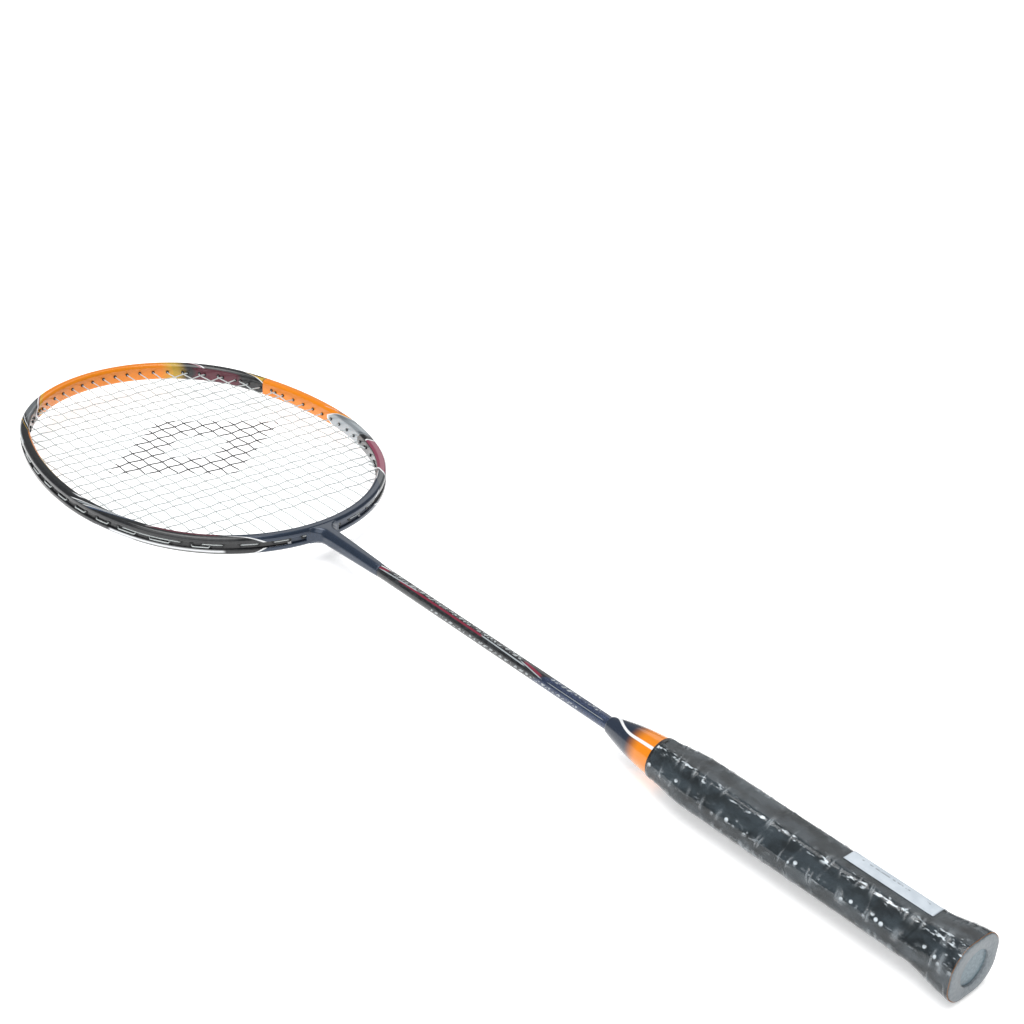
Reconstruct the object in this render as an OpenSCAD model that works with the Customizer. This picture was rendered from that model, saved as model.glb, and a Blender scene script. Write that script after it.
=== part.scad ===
// Badminton racket: a hollow carbon head with its strings and grommets, a carbon
// shaft joined by an inner tee, and a wooden handle with cone, grip and butt cap.
// The racket lies along +Y with the centre of its butt face at the origin.
// +Z is square to the string bed and +X is the side to the right of the butt.

/* [Racket] */
// Length from the butt face to the tip of the head
overall_l = 675; // [600:1:800]

/* [Head] */
// Length of the head outside
head_l = 241; // [200:1:290]
// Width of the head outside
head_w = 190; // [150:1:230]
// Distance from the tip to the widest place of the head
tip_to_widest = 129; // [110:1:140]
// Thickness of the head rim in the plane of the strings
rim_w = 5.8; // [5.2:0.1:7.5]
// Depth of the head rim across the strings
rim_d = 10.3; // [8:0.1:13]
// Chamfer on the four edges of the rim
rim_chamfer = 1.1; // [0.5:0.1:1.6]
// Wall of the hollow rim
rim_wall = 1; // [0.8:0.1:1.2]
// Depth of the string groove round the outside of the rim
groove_depth = 1.5; // [1.3:0.1:1.8]
// Width of the string groove
groove_w = 3.4; // [3.4:0.1:4]

/* [Strings] */
// Diameter of the string
string_d = 0.7; // [0.6:0.02:0.8]
// Spacing of the main strings
main_pitch = 7.725; // [6.2:0.005:8.4]
// Least gap between the outermost main string and the rim
side_gap = 5; // [4:0.5:9]
// Spacing of the cross strings
cross_pitch = 8.65; // [7.2:0.05:9.4]
// Distance from the tip of the head to the first cross string
first_cross = 25.5; // [24:0.5:30]
// Least distance from the throat of the head to the last cross string
throat_bare = 33; // [30:0.5:45]
// Least distance between the middles of two neighbouring grommets
grommet_gap = 3; // [2.9:0.05:3.4]
// Radius of each grommet hole in the rim
hole_r = 1; // [0.9:0.05:1.1]
// Radius of the flange of a grommet
flange_r = 1.3; // [1.2:0.05:1.4]
// Thickness of the flange of a grommet
flange_t = 0.4; // [0.3:0.05:0.5]
// How far a grommet stands out of the inner wall of the rim
grommet_lip = 0.5; // [0.3:0.1:0.8]

/* [Throat and shaft] */
// Length of the taper between the head and the bare shaft
taper_l = 46; // [36:1:60]
// Width of the taper where it meets the head
taper_w = 9.4; // [8.6:0.1:11]
// Depth of the taper where it meets the head
taper_d = 9.6; // [8.6:0.1:11]
// Skin that the taper adds to the shaft at its thin end
taper_skin = 0.35; // [0.2:0.05:0.8]
// Radius of the fillets between the taper and the head
throat_fillet = 7; // [4:0.5:9]
// Outer diameter of the shaft
shaft_d = 7; // [6.4:0.1:7.6]
// Inner diameter of the shaft
shaft_bore = 4.2; // [3.4:0.1:4.6]
// Gap between the top end of the shaft and the outer wall of the rim
shaft_top_gap = 8; // [6:0.5:12]
// Height above the butt at which the shaft ends inside the handle
shaft_seat = 45; // [30:1:90]
// Reach of the tee joint into the shaft
tee_reach = 26; // [15:1:40]
// Half width of the tee joint inside the rim
tee_half_w = 8.2; // [6:0.1:9]

/* [Handle] */
// Length of the handle from the butt face to the top of the grip
grip_l = 174; // [130:1:220]
// Width of the finished grip
grip_w = 28.8; // [26:0.1:32]
// Depth of the finished grip
grip_d = 23; // [21:0.1:26]
// Leg of the bevels of the finished grip
grip_bevel = 7.6; // [6:0.1:8.5]
// Width of the butt
butt_w = 32.6; // [30:0.1:38]
// Depth of the butt
butt_d = 29.6; // [27:0.1:34]
// Leg of the bevels of the butt
butt_bevel = 7.5; // [6:0.1:9]
// Length of the flare at the butt
flare_l = 26; // [15:1:40]
// Width of the grip at its top end
grip_top_w = 23.4; // [22:0.1:26]
// Depth of the grip at its top end
grip_top_d = 20.8; // [20:0.1:23]
// Leg of the bevels at the top end of the grip
grip_top_bevel = 6.9; // [5:0.1:7.5]
// Length over which the grip narrows at its top end
grip_taper_l = 24; // [15:1:40]
// Thickness of the wrapped grip
wrap_t = 1.5; // [1:0.1:1.8]
// Thickness of the adhesive tape under the grip
tape_t = 0.2; // [0.1:0.05:0.3]
// Thickness of the clear film over the grip
film_t = 0.12; // [0.1:0.01:0.3]
// Width of the finishing band at the top of the grip
band_w = 1.8; // [1.5:0.1:4]
// Thickness of the finishing band
band_t = 0.5; // [0.3:0.1:1]

/* [Cone] */
// Length of the cone above the grip
cone_l = 35; // [25:1:50]
// Radius of the cone where it meets the grip
cone_r = 10.1; // [9.4:0.1:10.3]
// Radius of the cone where it meets the shaft
cone_top_r = 4.3; // [4.2:0.1:5]
// How far the cone bulges beyond a straight taper
cone_bulge = 0.9; // [0:0.1:1.5]
// Wall of the cone
cone_wall = 1.2; // [0.8:0.1:1.6]

/* [Butt cap] */
// Thickness of the plate of the butt cap
cap_plate = 3; // [2.5:0.1:5]
// Reach of the skirt of the butt cap over the wood
cap_skirt = 7; // [5:0.5:12]
// Thickness of the skirt of the butt cap
cap_skirt_t = 1.1; // [0.8:0.1:1.4]
// Radius of the round recess in the butt cap
recess_r = 8.9; // [7:0.1:10]
// Depth of the recess in the butt cap
recess_depth = 1.6; // [1:0.1:2]
// Thickness of the disc in the recess
disc_t = 0.6; // [0.3:0.1:0.8]
// Rounding of the edge of the butt cap
cap_edge = 0.8; // [0.3:0.1:1.2]

/* [Label] */
// Distance from the butt face to the label
label_start = 22.5; // [10:0.5:60]
// Length of the label
label_l = 46.8; // [20:0.1:70]
// Width of the label on the top face of the grip
label_top_w = 7.6; // [4:0.1:8]
// Width of the label on the bevel beside it
label_side_w = 9; // [4:0.1:9.4]
// Thickness of the label
label_t = 0.15; // [0.1:0.01:0.3]

/* [Fits] */
// Clearance between the string and the inside of a grommet
string_clear = 0.1; // [0.05:0.01:0.15]
// Clearance between a grommet and its hole
grommet_clear = 0.05; // [0.02:0.01:0.1]
// Clearance round the tee joint
tee_clear = 0.05; // [0.02:0.01:0.1]
// Clearance round the shaft in the wood and the cone
shaft_clear = 0.05; // [0.02:0.01:0.1]
// Clearance round the disc in the butt cap
disc_clear = 0.1; // [0.05:0.01:0.3]
// Clearance between the cone and the nose of the wood
nose_clear = 0.1; // [0.05:0.01:0.3]

/* [Hidden] */
$fn = 64;

// The outline of the head is an oval of two halves. Each half has a wide end arc on
// the centre line and a longer arc on each side. They meet on lines that rise 5 in 12,
// the slope of a 5-12-13 triangle, which keeps the centres and radii in round numbers.
half_w = head_w / 2;
widest_y = overall_l - tip_to_widest;
throat_y = overall_l - head_l;
tip_b = tip_to_widest;
throat_b = head_l - tip_to_widest;
join_line = [480, 200];
join_angle = atan2(join_line[1], join_line[0]);
function end_r(b) = b - 5 / 4 * (b - half_w);
function side_r(b) = half_w + 12 / 4 * (b - half_w);

string_r = string_d / 2;
// Main strings lie just above the middle plane and cross strings just below it.
string_lift = string_r + 0.01;
barrel_r = hole_r - grommet_clear;
// Insets from the outer wall of a loop in the groove and of a bend inside the rim
loop_inset = groove_depth - flange_t - string_r - 0.1;
mouth_inset = rim_w + grommet_lip + string_r + 0.05;
// Loops of the main and cross strings lie side by side in the groove.
loop_lift = groove_w / 2 - string_r - 0.4;
mains_half = floor((half_w - mouth_inset - side_gap) / main_pitch + 0.5);
crosses = 2 * floor(((head_l - first_cross - throat_bare) / cross_pitch + 1) / 2);

shaft_r = shaft_d / 2;
stem_r = shaft_bore / 2 - tee_clear;
shaft_top_y = throat_y - shaft_top_gap;
taper_start_y = throat_y - taper_l;
cone_top_y = grip_l + cone_l;
layers_t = film_t + wrap_t + tape_t;
nose_end_y = cone_top_y - 10;

// ---------- places on the rim ----------
// A place on the rim is [centre x, centre y, radius, angle] of its arc on the outer
// wall. It is found from s, the distance round the rim from the tip, measured along
// the strings' bends; s is negative on the left half.
function arc_len(r, angle) = (r - mouth_inset) * angle * PI / 180;
tip_end_len = arc_len(end_r(tip_b), 90 - join_angle);
tip_side_len = arc_len(side_r(tip_b), join_angle);
throat_side_len = arc_len(side_r(throat_b), join_angle);
throat_end_len = arc_len(end_r(throat_b), 90 - join_angle);
half_len = tip_end_len + tip_side_len + throat_side_len + throat_end_len;

function turn_of(len, r) = len / (r - mouth_inset) * 180 / PI;
function right_place(s) =
    s < tip_end_len ? [0, widest_y + tip_b - end_r(tip_b), end_r(tip_b), 90 - turn_of(s, end_r(tip_b))]
    : s < tip_end_len + tip_side_len ? [half_w - side_r(tip_b), widest_y, side_r(tip_b),
        join_angle - turn_of(s - tip_end_len, side_r(tip_b))]
    : s < half_len - throat_end_len ? [half_w - side_r(throat_b), widest_y, side_r(throat_b),
        -turn_of(s - tip_end_len - tip_side_len, side_r(throat_b))]
    : [0, widest_y - throat_b + end_r(throat_b), end_r(throat_b),
        -90 + turn_of(half_len - s, end_r(throat_b))];
function rim_place(s) = let (p = right_place(abs(s))) s >= 0 ? p : [-p[0], p[1], p[2], 180 - p[3]];

// Point on a place's normal, at the given inset from the outer wall and height z
function rim_point(p, inset, z) =
    [p[0] + (p[2] - inset) * cos(p[3]), p[1] + (p[2] - inset) * sin(p[3]), z];

// Distance from the end of the head, along its half, to a main string at x > 0 and to
// a cross string at dy > 0 from the widest place
function len_at_x(x, b) =
    let (re = end_r(b), rs = side_r(b), on_end = x <= (re - mouth_inset) * cos(join_angle))
    on_end ? arc_len(re, 90 - acos(x / (re - mouth_inset)))
        : arc_len(re, 90 - join_angle)
            + arc_len(rs, join_angle - acos((x - half_w + rs) / (rs - mouth_inset)));
function len_at_dy(dy, b) =
    let (re = end_r(b), rs = side_r(b), on_side = dy <= (rs - mouth_inset) * sin(join_angle))
    on_side ? arc_len(re, 90 - join_angle) + arc_len(rs, join_angle - asin(dy / (rs - mouth_inset)))
        : arc_len(re, 90 - asin((dy - b + re) / (re - mouth_inset)));

// ---------- grommet places on the right half ----------
function main_x(k) = (k + 0.5) * main_pitch;
function cross_y(j) = overall_l - first_cross - j * cross_pitch;
// A bore stays whole on one arc of the rim, so it keeps its distance from the joins.
joins = [tip_end_len, half_len - throat_end_len];
join_gap = hole_r + 0.4;
function off_joins(s) = let (near = [for (j = joins) if (abs(s - j) < join_gap) j])
    len(near) > 0 ? near[0] + (s < near[0] ? -1 : 1) * join_gap : s;
main_tip_s = [for (k = [0 : mains_half - 1]) off_joins(len_at_x(main_x(k), tip_b))];
main_throat_s = [for (k = [0 : mains_half - 1]) off_joins(half_len - len_at_x(main_x(k), throat_b))];
all_main_s = concat(main_tip_s, main_throat_s);
// A cross string's grommet keeps its distance from the nearest main string's.
function kept_clear(s) =
    let (gaps = [for (m = all_main_s) abs(s - m)], near = [for (m = all_main_s) if (abs(s - m) == min(gaps)) m][0])
    min(gaps) < grommet_gap ? near + (s < near ? -1 : 1) * grommet_gap : s;
cross_s = [for (j = [0 : crosses - 1]) let (dy = cross_y(j) - widest_y)
    kept_clear(off_joins(dy >= 0 ? len_at_dy(dy, tip_b) : half_len - len_at_dy(-dy, throat_b)))];
// The end of a string goes on round the rim to the first free place and is tied there.
used_s = concat(all_main_s, cross_s, joins);
function tie_place(s, way) =
    [for (d = [6 : 0.5 : 24]) let (t = s + way * d)
        if (min([for (u = used_s) abs(u - t)]) > grommet_gap + 0.5) t][0];
main_tie_s = tie_place(main_throat_s[mains_half - 1], 1);
first_cross_tie_s = tie_place(cross_s[0], -1);
last_cross_tie_s = tie_place(cross_s[crosses - 1], 1);

// ---------- string paths ----------
// Points of a loop in the groove between two places
loop_steps = 3;
function loop_points(s0, s1, z) = [for (i = [1 : loop_steps - 1])
    rim_point(rim_place(s0 + (s1 - s0) * i / loop_steps), loop_inset, z)];

// From a grommet's mouth inside the rim to the groove, and the way back
function way_out(s, z) = [rim_point(rim_place(s), mouth_inset, z), rim_point(rim_place(s), loop_inset, z)];
function way_in(s, z) = [rim_point(rim_place(s), loop_inset, z), rim_point(rim_place(s), mouth_inset, z)];
function tied_end(s, z) = [rim_point(rim_place(s), rim_w + grommet_lip, z),
    rim_point(rim_place(s), loop_inset, z)];
function reversed(list) = [for (i = [len(list) - 1 : -1 : 0]) list[i]];

// Main string k, from the left; its s at the tip or the throat
function main_s(k, end) = let (m = k - mains_half, i = m >= 0 ? m : -m - 1, side = m >= 0 ? 1 : -1)
    side * (end > 0 ? main_tip_s[i] : main_throat_s[i]);
mains = 2 * mains_half;
function main_path() = [
    each tied_end(-main_tie_s, string_lift),
    each loop_points(-main_tie_s, main_s(0, -1), loop_lift),
    each [for (k = [0 : mains - 1]) let (end = k % 2 == 0 ? 1 : -1)
        each [each way_in(main_s(k, -end), string_lift), each way_out(main_s(k, end), string_lift),
            if (k < mains - 1) each loop_points(main_s(k, end), main_s(k + 1, end), loop_lift)]],
    each loop_points(main_s(mains - 1, -1), main_tie_s, loop_lift),
    each reversed(tied_end(main_tie_s, string_lift))];

function cross_path() = [
    each tied_end(-first_cross_tie_s, -string_lift),
    each loop_points(-first_cross_tie_s, -cross_s[0], -loop_lift),
    each [for (j = [0 : crosses - 1]) let (side = j % 2 == 0 ? 1 : -1)
        each [each way_in(-side * cross_s[j], -string_lift), each way_out(side * cross_s[j], -string_lift),
            if (j < crosses - 1) each loop_points(side * cross_s[j], side * cross_s[j + 1], -loop_lift)]],
    each loop_points(-cross_s[crosses - 1], -last_cross_tie_s, -loop_lift),
    each reversed(tied_end(-last_cross_tie_s, -string_lift))];

// ---------- helpers ----------
function unit(v) = v / norm(v);

// Round tube swept along a path that stays nearly in one plane, mitred at its bends
string_sides = 8;
module swept_string(path, r) {
    n = len(path);
    rings = [for (i = [0 : n - 1])
        let (a = unit(path[min(i + 1, n - 1)] - path[max(i == n - 1 ? i - 1 : i, 0)]),
            b = unit(path[max(i, 1)] - path[max(i - 1, 0)]),
            t = unit(a + b), stretch = 1 / max(0.5, t * a),
            s = unit(cross(t, [0, 0, 1])), u = cross(s, t))
        each [for (m = [0 : string_sides - 1])
            path[i] + r * (cos(360 * m / string_sides) * stretch * s + sin(360 * m / string_sides) * u)]];
    sides = [for (i = [0 : n - 2]) for (m = [0 : string_sides - 1])
        let (a = i * string_sides + m, b = i * string_sides + (m + 1) % string_sides)
        each [[a, b, b + string_sides], [a, b + string_sides, a + string_sides]]];
    first_end = [[for (m = [string_sides - 1 : -1 : 0]) m]];
    last_end = [[for (m = [0 : string_sides - 1]) (n - 1) * string_sides + m]];
    polyhedron(rings, concat(sides, first_end, last_end), convexity = 20);
}

// Cylinder from one point to another
module rod(a, b, r) {
    d = b - a;
    translate(a) rotate([0, acos(d[2] / norm(d)), atan2(d[1], d[0])])
        cylinder(h = norm(d), r = r, $fn = 32);
}

// A section carried round the three arcs of one half of the head, which has its widest
// place at y = 0 and its end at y = b. The arcs run past the join lines and are cut there.
module round_half(b) {
    re = end_r(b);
    rs = side_r(b);
    translate([0, b - re, 0]) intersection() {
        rotate_extrude(angle = 180, $fn = 180) translate([re, 0]) children();
        translate([0, 0, -rim_d]) linear_extrude(2 * rim_d)
            polygon([[0, 0], join_line, [0, join_line[0]], [-join_line[0], join_line[1]]]);
    }
    for (turn = [0, 180]) rotate([0, turn, 0]) translate([half_w - rs, 0, 0]) intersection() {
        rotate_extrude(angle = join_angle + 2, $fn = 360) translate([rs, 0]) children();
        translate([0, 0, -rim_d]) linear_extrude(2 * rim_d)
            polygon([[0, 0], [join_line[0], -join_line[1]], join_line]);
    }
}
module round_the_head() translate([0, widest_y, 0]) {
    round_half(tip_b) children();
    rotate([180, 0, 0]) round_half(throat_b) children();
}

// A solid along Y through a list of [y, half width, half depth, bevel] sections
module handle_loft(sections) {
    n = len(sections);
    points = [for (s = sections) each [
        [s[1] - s[3], s[0], s[2]], [s[1], s[0], s[2] - s[3]],
        [s[1], s[0], s[3] - s[2]], [s[1] - s[3], s[0], -s[2]],
        [s[3] - s[1], s[0], -s[2]], [-s[1], s[0], s[3] - s[2]],
        [-s[1], s[0], s[2] - s[3]], [s[3] - s[1], s[0], s[2]]]];
    sides = [for (i = [0 : n - 2]) for (m = [0 : 7])
        let (a = i * 8 + m, b = i * 8 + (m + 1) % 8)
        each [[a, b + 8, b], [a, a + 8, b + 8]]];
    polyhedron(points, concat(sides, [[for (m = [0 : 7]) m]],
        [[for (m = [7 : -1 : 0]) (n - 1) * 8 + m]]), convexity = 4);
}

// Section of the finished grip at a height, moved inwards by an inset. It is worked out
// at a few stations and runs straight between them, so that layers meet face to face.
function smooth(t) = let (c = min(1, max(0, t))) c * c * (3 - 2 * c);
function blend(a, b, t) = a + (b - a) * t;
flare_steps = 6;
taper_steps = 5;
stations = [for (i = [0 : flare_steps]) flare_l * i / flare_steps,
    for (i = [0 : taper_steps]) grip_l - grip_taper_l * (1 - i / taper_steps)];
function station_size(y, mid, butt, top) =
    blend(blend(mid, butt, smooth(1 - y / flare_l)), top, smooth((y - grip_l + grip_taper_l) / grip_taper_l));
half_w_at = [for (y = stations) [y, station_size(y, grip_w, butt_w, grip_top_w) / 2]];
half_d_at = [for (y = stations) [y, station_size(y, grip_d, butt_d, grip_top_d) / 2]];
bevel_at = [for (y = stations) [y, station_size(y, grip_bevel, butt_bevel, grip_top_bevel)]];
function grip_section(y, inset) = [y, lookup(y, half_w_at) - inset, lookup(y, half_d_at) - inset,
    lookup(y, bevel_at) - inset * (2 - sqrt(2))];
function grip_sections(y0, y1, inset) = [grip_section(y0, inset),
    for (y = stations) if (y > y0 + 0.01 && y < y1 - 0.01) grip_section(y, inset),
    grip_section(y1, inset)];
// The same sections with a straight run of 1 mm beyond each end, to cut with
function longer(sections) = let (n = len(sections), a = sections[0], b = sections[n - 1])
    [[a[0] - 1, a[1], a[2], a[3]], each sections, [b[0] + 1, b[1], b[2], b[3]]];

// A sleeve between two insets of the grip, from one height to another
module grip_sleeve(y0, y1, outer, inner) {
    difference() {
        handle_loft(grip_sections(y0, y1, outer));
        handle_loft(longer(grip_sections(y0, y1, inner)));
    }
}

// Turned shape about the handle's axis from [y, radius] points
module turned(points) {
    rotate([-90, 0, 0]) rotate_extrude($fn = 72)
        polygon([for (p = points) [p[1], p[0]]]);
}

// Rim section with chamfered corners, inset all round, from the outer wall inwards
module rim_section(inset_out, inset_in, inset_z, chamfer) {
    x0 = inset_in - rim_w;
    x1 = -inset_out;
    z = rim_d / 2 - inset_z;
    polygon([[x0 + chamfer, -z], [x1 - chamfer, -z], [x1, chamfer - z], [x1, z - chamfer],
        [x1 - chamfer, z], [x0 + chamfer, z], [x0, z - chamfer], [x0, chamfer - z]]);
}

// A place's straight rod along its normal, between two insets from the outer wall
module rod_at(s, z, inset0, inset1, r) {
    p = rim_place(s);
    rod(rim_point(p, inset0, z), rim_point(p, inset1, z), r);
}

module holes_at(places, z, r, inset0, inset1) {
    for (s = places) rod_at(s, z, inset0, inset1, r);
}

// Grommets: a barrel through the rim with a flange in the groove
module grommets_at(places, z) {
    for (s = places) difference() {
        union() {
            rod_at(s, z, groove_depth - flange_t, groove_depth, flange_r);
            rod_at(s, z, groove_depth - flange_t / 2, rim_w + grommet_lip, barrel_r);
        }
        rod_at(s, z, 0, rim_w + grommet_lip + 1, string_r + string_clear);
    }
}

both_sides = [1, -1];
tip_places = [for (side = both_sides) for (s = main_tip_s) side * s];
throat_places = [for (side = both_sides) for (s = concat(main_throat_s, [main_tie_s])) side * s];
left_places = -1 * concat(cross_s, [first_cross_tie_s, last_cross_tie_s]);
right_places = cross_s;

// Radius of the cone at a height
function cone_radius(y) = let (t = (y - grip_l - band_w) / (cone_l - band_w))
    blend(cone_r, cone_top_r, t) + cone_bulge * sin(180 * t);
cone_steps = 10;
function cone_curve(y1, less) = [for (i = [0 : cone_steps])
    let (y = blend(grip_l + band_w, y1, i / cone_steps)) [y, cone_radius(y) - less]];

// Rod along Y
module y_rod(y0, y1, r) {
    translate([0, y0, 0]) rotate([-90, 0, 0]) cylinder(h = y1 - y0, r = r);
}

// ---------- head ----------
// The taper under the throat widens into the rim along a fillet, in short steps.
fillet_steps = 6;
module throat_taper() {
    re = end_r(throat_b);
    flank = taper_w / 2;
    fillet_x = flank + throat_fillet;
    fillet_y = widest_y - throat_b + re - sqrt(pow(re + throat_fillet, 2) - fillet_x * fillet_x);
    rise = acos(fillet_x / (re + throat_fillet));
    thin = shaft_r + taper_skin;
    handle_loft([[taper_start_y, thin, thin, thin * (2 - sqrt(2))],
        for (i = [0 : fillet_steps]) let (turn = rise * i / fillet_steps)
            [fillet_y + throat_fillet * sin(turn), fillet_x - throat_fillet * cos(turn), taper_d / 2, taper_w / 4],
        [fillet_y + throat_fillet * sin(rise) + rim_w / 4, fillet_x - throat_fillet * cos(rise),
            taper_d / 2, taper_w / 4]]);
}

module head_frame() color("darkorange") difference() {
    union() {
        round_the_head() rim_section(0, 0, 0, rim_chamfer);
        throat_taper();
    }
    round_the_head() rim_section(groove_depth + rim_wall, rim_wall, rim_wall, rim_chamfer / 2);
    round_the_head() translate([-groove_depth, -groove_w / 2]) square([groove_depth + 0.3, groove_w]);
    holes_at(concat(tip_places, throat_places), string_lift, hole_r, -1, rim_w + 1);
    holes_at(concat(left_places, right_places), -string_lift, hole_r, -1, rim_w + 1);
    y_rod(taper_start_y - 1, shaft_top_y, shaft_r + shaft_clear);
    y_rod(shaft_top_y - 1, throat_y + groove_depth + rim_wall + 0.5, stem_r + tee_clear);
}

// The tee's bar lies in the hollow rim at the throat and its stem in the shaft.
module tee_joint() color("dimgray") {
    re = end_r(throat_b);
    half_turn = asin(tee_half_w / re);
    fit = rim_wall + tee_clear;
    difference() {
        union() {
            translate([0, widest_y - throat_b + re, 0]) rotate([0, 0, -90 - half_turn])
                rotate_extrude(angle = 2 * half_turn, $fn = 180) translate([re, 0])
                    rim_section(groove_depth + fit, fit, fit, rim_chamfer / 2);
            y_rod(shaft_top_y - tee_reach, throat_y + groove_depth + rim_wall + 0.5, stem_r);
        }
        holes_at([main_throat_s[0], -main_throat_s[0]], string_lift, hole_r, 0, rim_w);
    }
}

module shaft() color("midnightblue") difference() {
    y_rod(shaft_seat, shaft_top_y, shaft_r);
    y_rod(shaft_seat - 1, shaft_top_y + 1, shaft_bore / 2);
}

// ---------- grommets and strings ----------
module tip_grommets() color("black") grommets_at(tip_places, string_lift);
module throat_grommets() color("black") grommets_at(throat_places, string_lift);
module left_grommets() color("black") grommets_at(left_places, -string_lift);
module right_grommets() color("black") grommets_at(right_places, -string_lift);
module main_string() color("white") swept_string(main_path(), string_r);
module cross_string() color("white") swept_string(cross_path(), string_r);

// A tied knot with a short tail, against the mouth of a grommet
knot_r = 2.2 * string_r;
tail_l = 3;
module knots_at(places, z) {
    for (s = places) {
        p = rim_place(s);
        middle = rim_point(p, rim_w + grommet_lip + knot_r, z);
        translate(middle) sphere(r = knot_r, $fn = 24);
        rod(middle, middle + tail_l * unit([-cos(p[3]), -sin(p[3]), z]), string_r);
    }
}
module main_string_knots() color("white") knots_at([main_tie_s, -main_tie_s], string_lift);
module cross_string_knots() color("white") knots_at([-first_cross_tie_s, -last_cross_tie_s], -string_lift);

// ---------- cone ----------
module cone_cap() color("orange") difference() {
    turned([[grip_l, 0], [grip_l, cone_r], each cone_curve(cone_top_y, 0), [cone_top_y, 0]]);
    turned([[grip_l - 1, 0], [grip_l - 1, cone_r - cone_wall], each cone_curve(nose_end_y + 1, cone_wall),
        [nose_end_y + 1, 0]]);
    y_rod(nose_end_y, cone_top_y + 1, shaft_r + shaft_clear);
}

module finishing_band() color("black")
    turned([[grip_l, cone_r], [grip_l, cone_r + band_t], [grip_l + band_w, cone_r + band_t],
        [grip_l + band_w, cone_r]]);

// ---------- handle ----------
module staple_shapes() {
    staple_y = cap_plate + cap_skirt_t + (cap_skirt - cap_plate) / 3;
    crown_half = 3.5;
    wire = 0.5;
    leg = 6;
    x = lookup(staple_y, half_w_at) - layers_t;
    for (turn = [0, 180]) rotate([0, turn, 0]) {
        translate([x - wire * 1.4, staple_y - wire / 2, -crown_half]) cube([wire, wire, 2 * crown_half]);
        for (z = [-crown_half, crown_half - wire])
            translate([x - leg, staple_y - wire / 2, z]) cube([leg - wire, wire, wire]);
    }
}

module handle_core() color("burlywood") difference() {
    union() {
        handle_loft(grip_sections(cap_skirt, grip_l, layers_t));
        handle_loft(grip_sections(cap_plate, cap_skirt, layers_t + cap_skirt_t));
        turned([[grip_l - 3, 0], [grip_l - 3, cone_r - 3], [grip_l, cone_r - 3],
            [grip_l, cone_r - cone_wall - nose_clear], each cone_curve(nose_end_y, cone_wall + nose_clear),
            [nose_end_y, 0]]);
    }
    y_rod(shaft_seat, nose_end_y + 1, shaft_r + shaft_clear);
    staple_shapes();
}

module grip_adhesive_tape() color("tan") grip_sleeve(cap_plate, grip_l, film_t + wrap_t, layers_t);
module grip_wrap() color("darkslategray") grip_sleeve(cap_plate, grip_l, film_t, film_t + wrap_t);
module grip_film() color([0.85, 0.9, 0.92, 0.4]) grip_sleeve(cap_plate, grip_l, 0, film_t);

module butt_cap() color("slategray") difference() {
    union() {
        handle_loft([grip_section(0, film_t + cap_edge), grip_section(cap_edge, film_t),
            grip_section(cap_plate, film_t)]);
        grip_sleeve(cap_plate, cap_skirt, layers_t, layers_t + cap_skirt_t);
    }
    y_rod(-1, recess_depth, recess_r);
    staple_shapes();
}

module butt_cap_staples() color("silver") staple_shapes();

module butt_disc() color("darkslategray") y_rod(recess_depth - disc_t, recess_depth, recess_r - disc_clear);

// The label covers part of the top face and of the bevel beside it.
module label_sticker() color("white") {
    top = [lookup(label_start, half_w_at) - lookup(label_start, bevel_at), lookup(label_start, half_d_at)];
    low = top + [1, -1] * label_side_w / sqrt(2);
    intersection() {
        grip_sleeve(label_start, label_start + label_l, -label_t, 0);
        translate([0, label_start + label_l + 1, 0]) rotate([90, 0, 0]) linear_extrude(label_l + 2)
            polygon([top + [-label_top_w, -2], top + [-label_top_w, 2], top + [1, 2], low + [2, 2],
                low - [2, 2], top + [-1, -2]]);
    }
}

head_frame();
tee_joint();
shaft();
tip_grommets();
throat_grommets();
left_grommets();
right_grommets();
main_string();
cross_string();
main_string_knots();
cross_string_knots();
cone_cap();
finishing_band();
handle_core();
grip_adhesive_tape();
grip_wrap();
grip_film();
butt_cap();
butt_cap_staples();
butt_disc();
label_sticker();
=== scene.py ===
"""The looks of a badminton racket, built round its fixed frame.

The frame gives every piece its place. Shapes are surfaces worked out with numpy in
millimetres, in the frame's own axes: +Y runs from the butt to the tip of the head,
+Z is square to the string bed and +X is to the right. A mesh is written in metres.
"""
import logging
import math
from dataclasses import dataclass
from enum import Enum

import bpy
import numpy as np
from mathutils import Matrix, Vector


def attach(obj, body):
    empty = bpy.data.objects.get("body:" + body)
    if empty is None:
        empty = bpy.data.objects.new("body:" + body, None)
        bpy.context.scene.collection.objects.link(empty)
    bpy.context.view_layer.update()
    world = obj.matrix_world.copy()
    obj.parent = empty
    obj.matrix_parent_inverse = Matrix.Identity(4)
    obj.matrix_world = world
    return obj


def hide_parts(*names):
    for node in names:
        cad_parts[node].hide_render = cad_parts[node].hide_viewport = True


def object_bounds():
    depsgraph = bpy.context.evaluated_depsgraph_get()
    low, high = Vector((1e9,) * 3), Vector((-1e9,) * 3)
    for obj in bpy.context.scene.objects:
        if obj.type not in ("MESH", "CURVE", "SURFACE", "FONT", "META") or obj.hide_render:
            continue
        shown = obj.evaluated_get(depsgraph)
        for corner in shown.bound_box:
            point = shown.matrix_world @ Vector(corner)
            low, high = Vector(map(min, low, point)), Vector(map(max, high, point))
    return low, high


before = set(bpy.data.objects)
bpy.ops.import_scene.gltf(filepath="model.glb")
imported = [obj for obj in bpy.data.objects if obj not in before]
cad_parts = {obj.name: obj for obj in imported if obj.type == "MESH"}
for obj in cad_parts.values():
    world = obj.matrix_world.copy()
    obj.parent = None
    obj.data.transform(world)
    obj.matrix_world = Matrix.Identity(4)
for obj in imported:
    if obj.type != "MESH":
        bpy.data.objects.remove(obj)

LOG = logging.getLogger("racket")
CAD_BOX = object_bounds()
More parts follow.
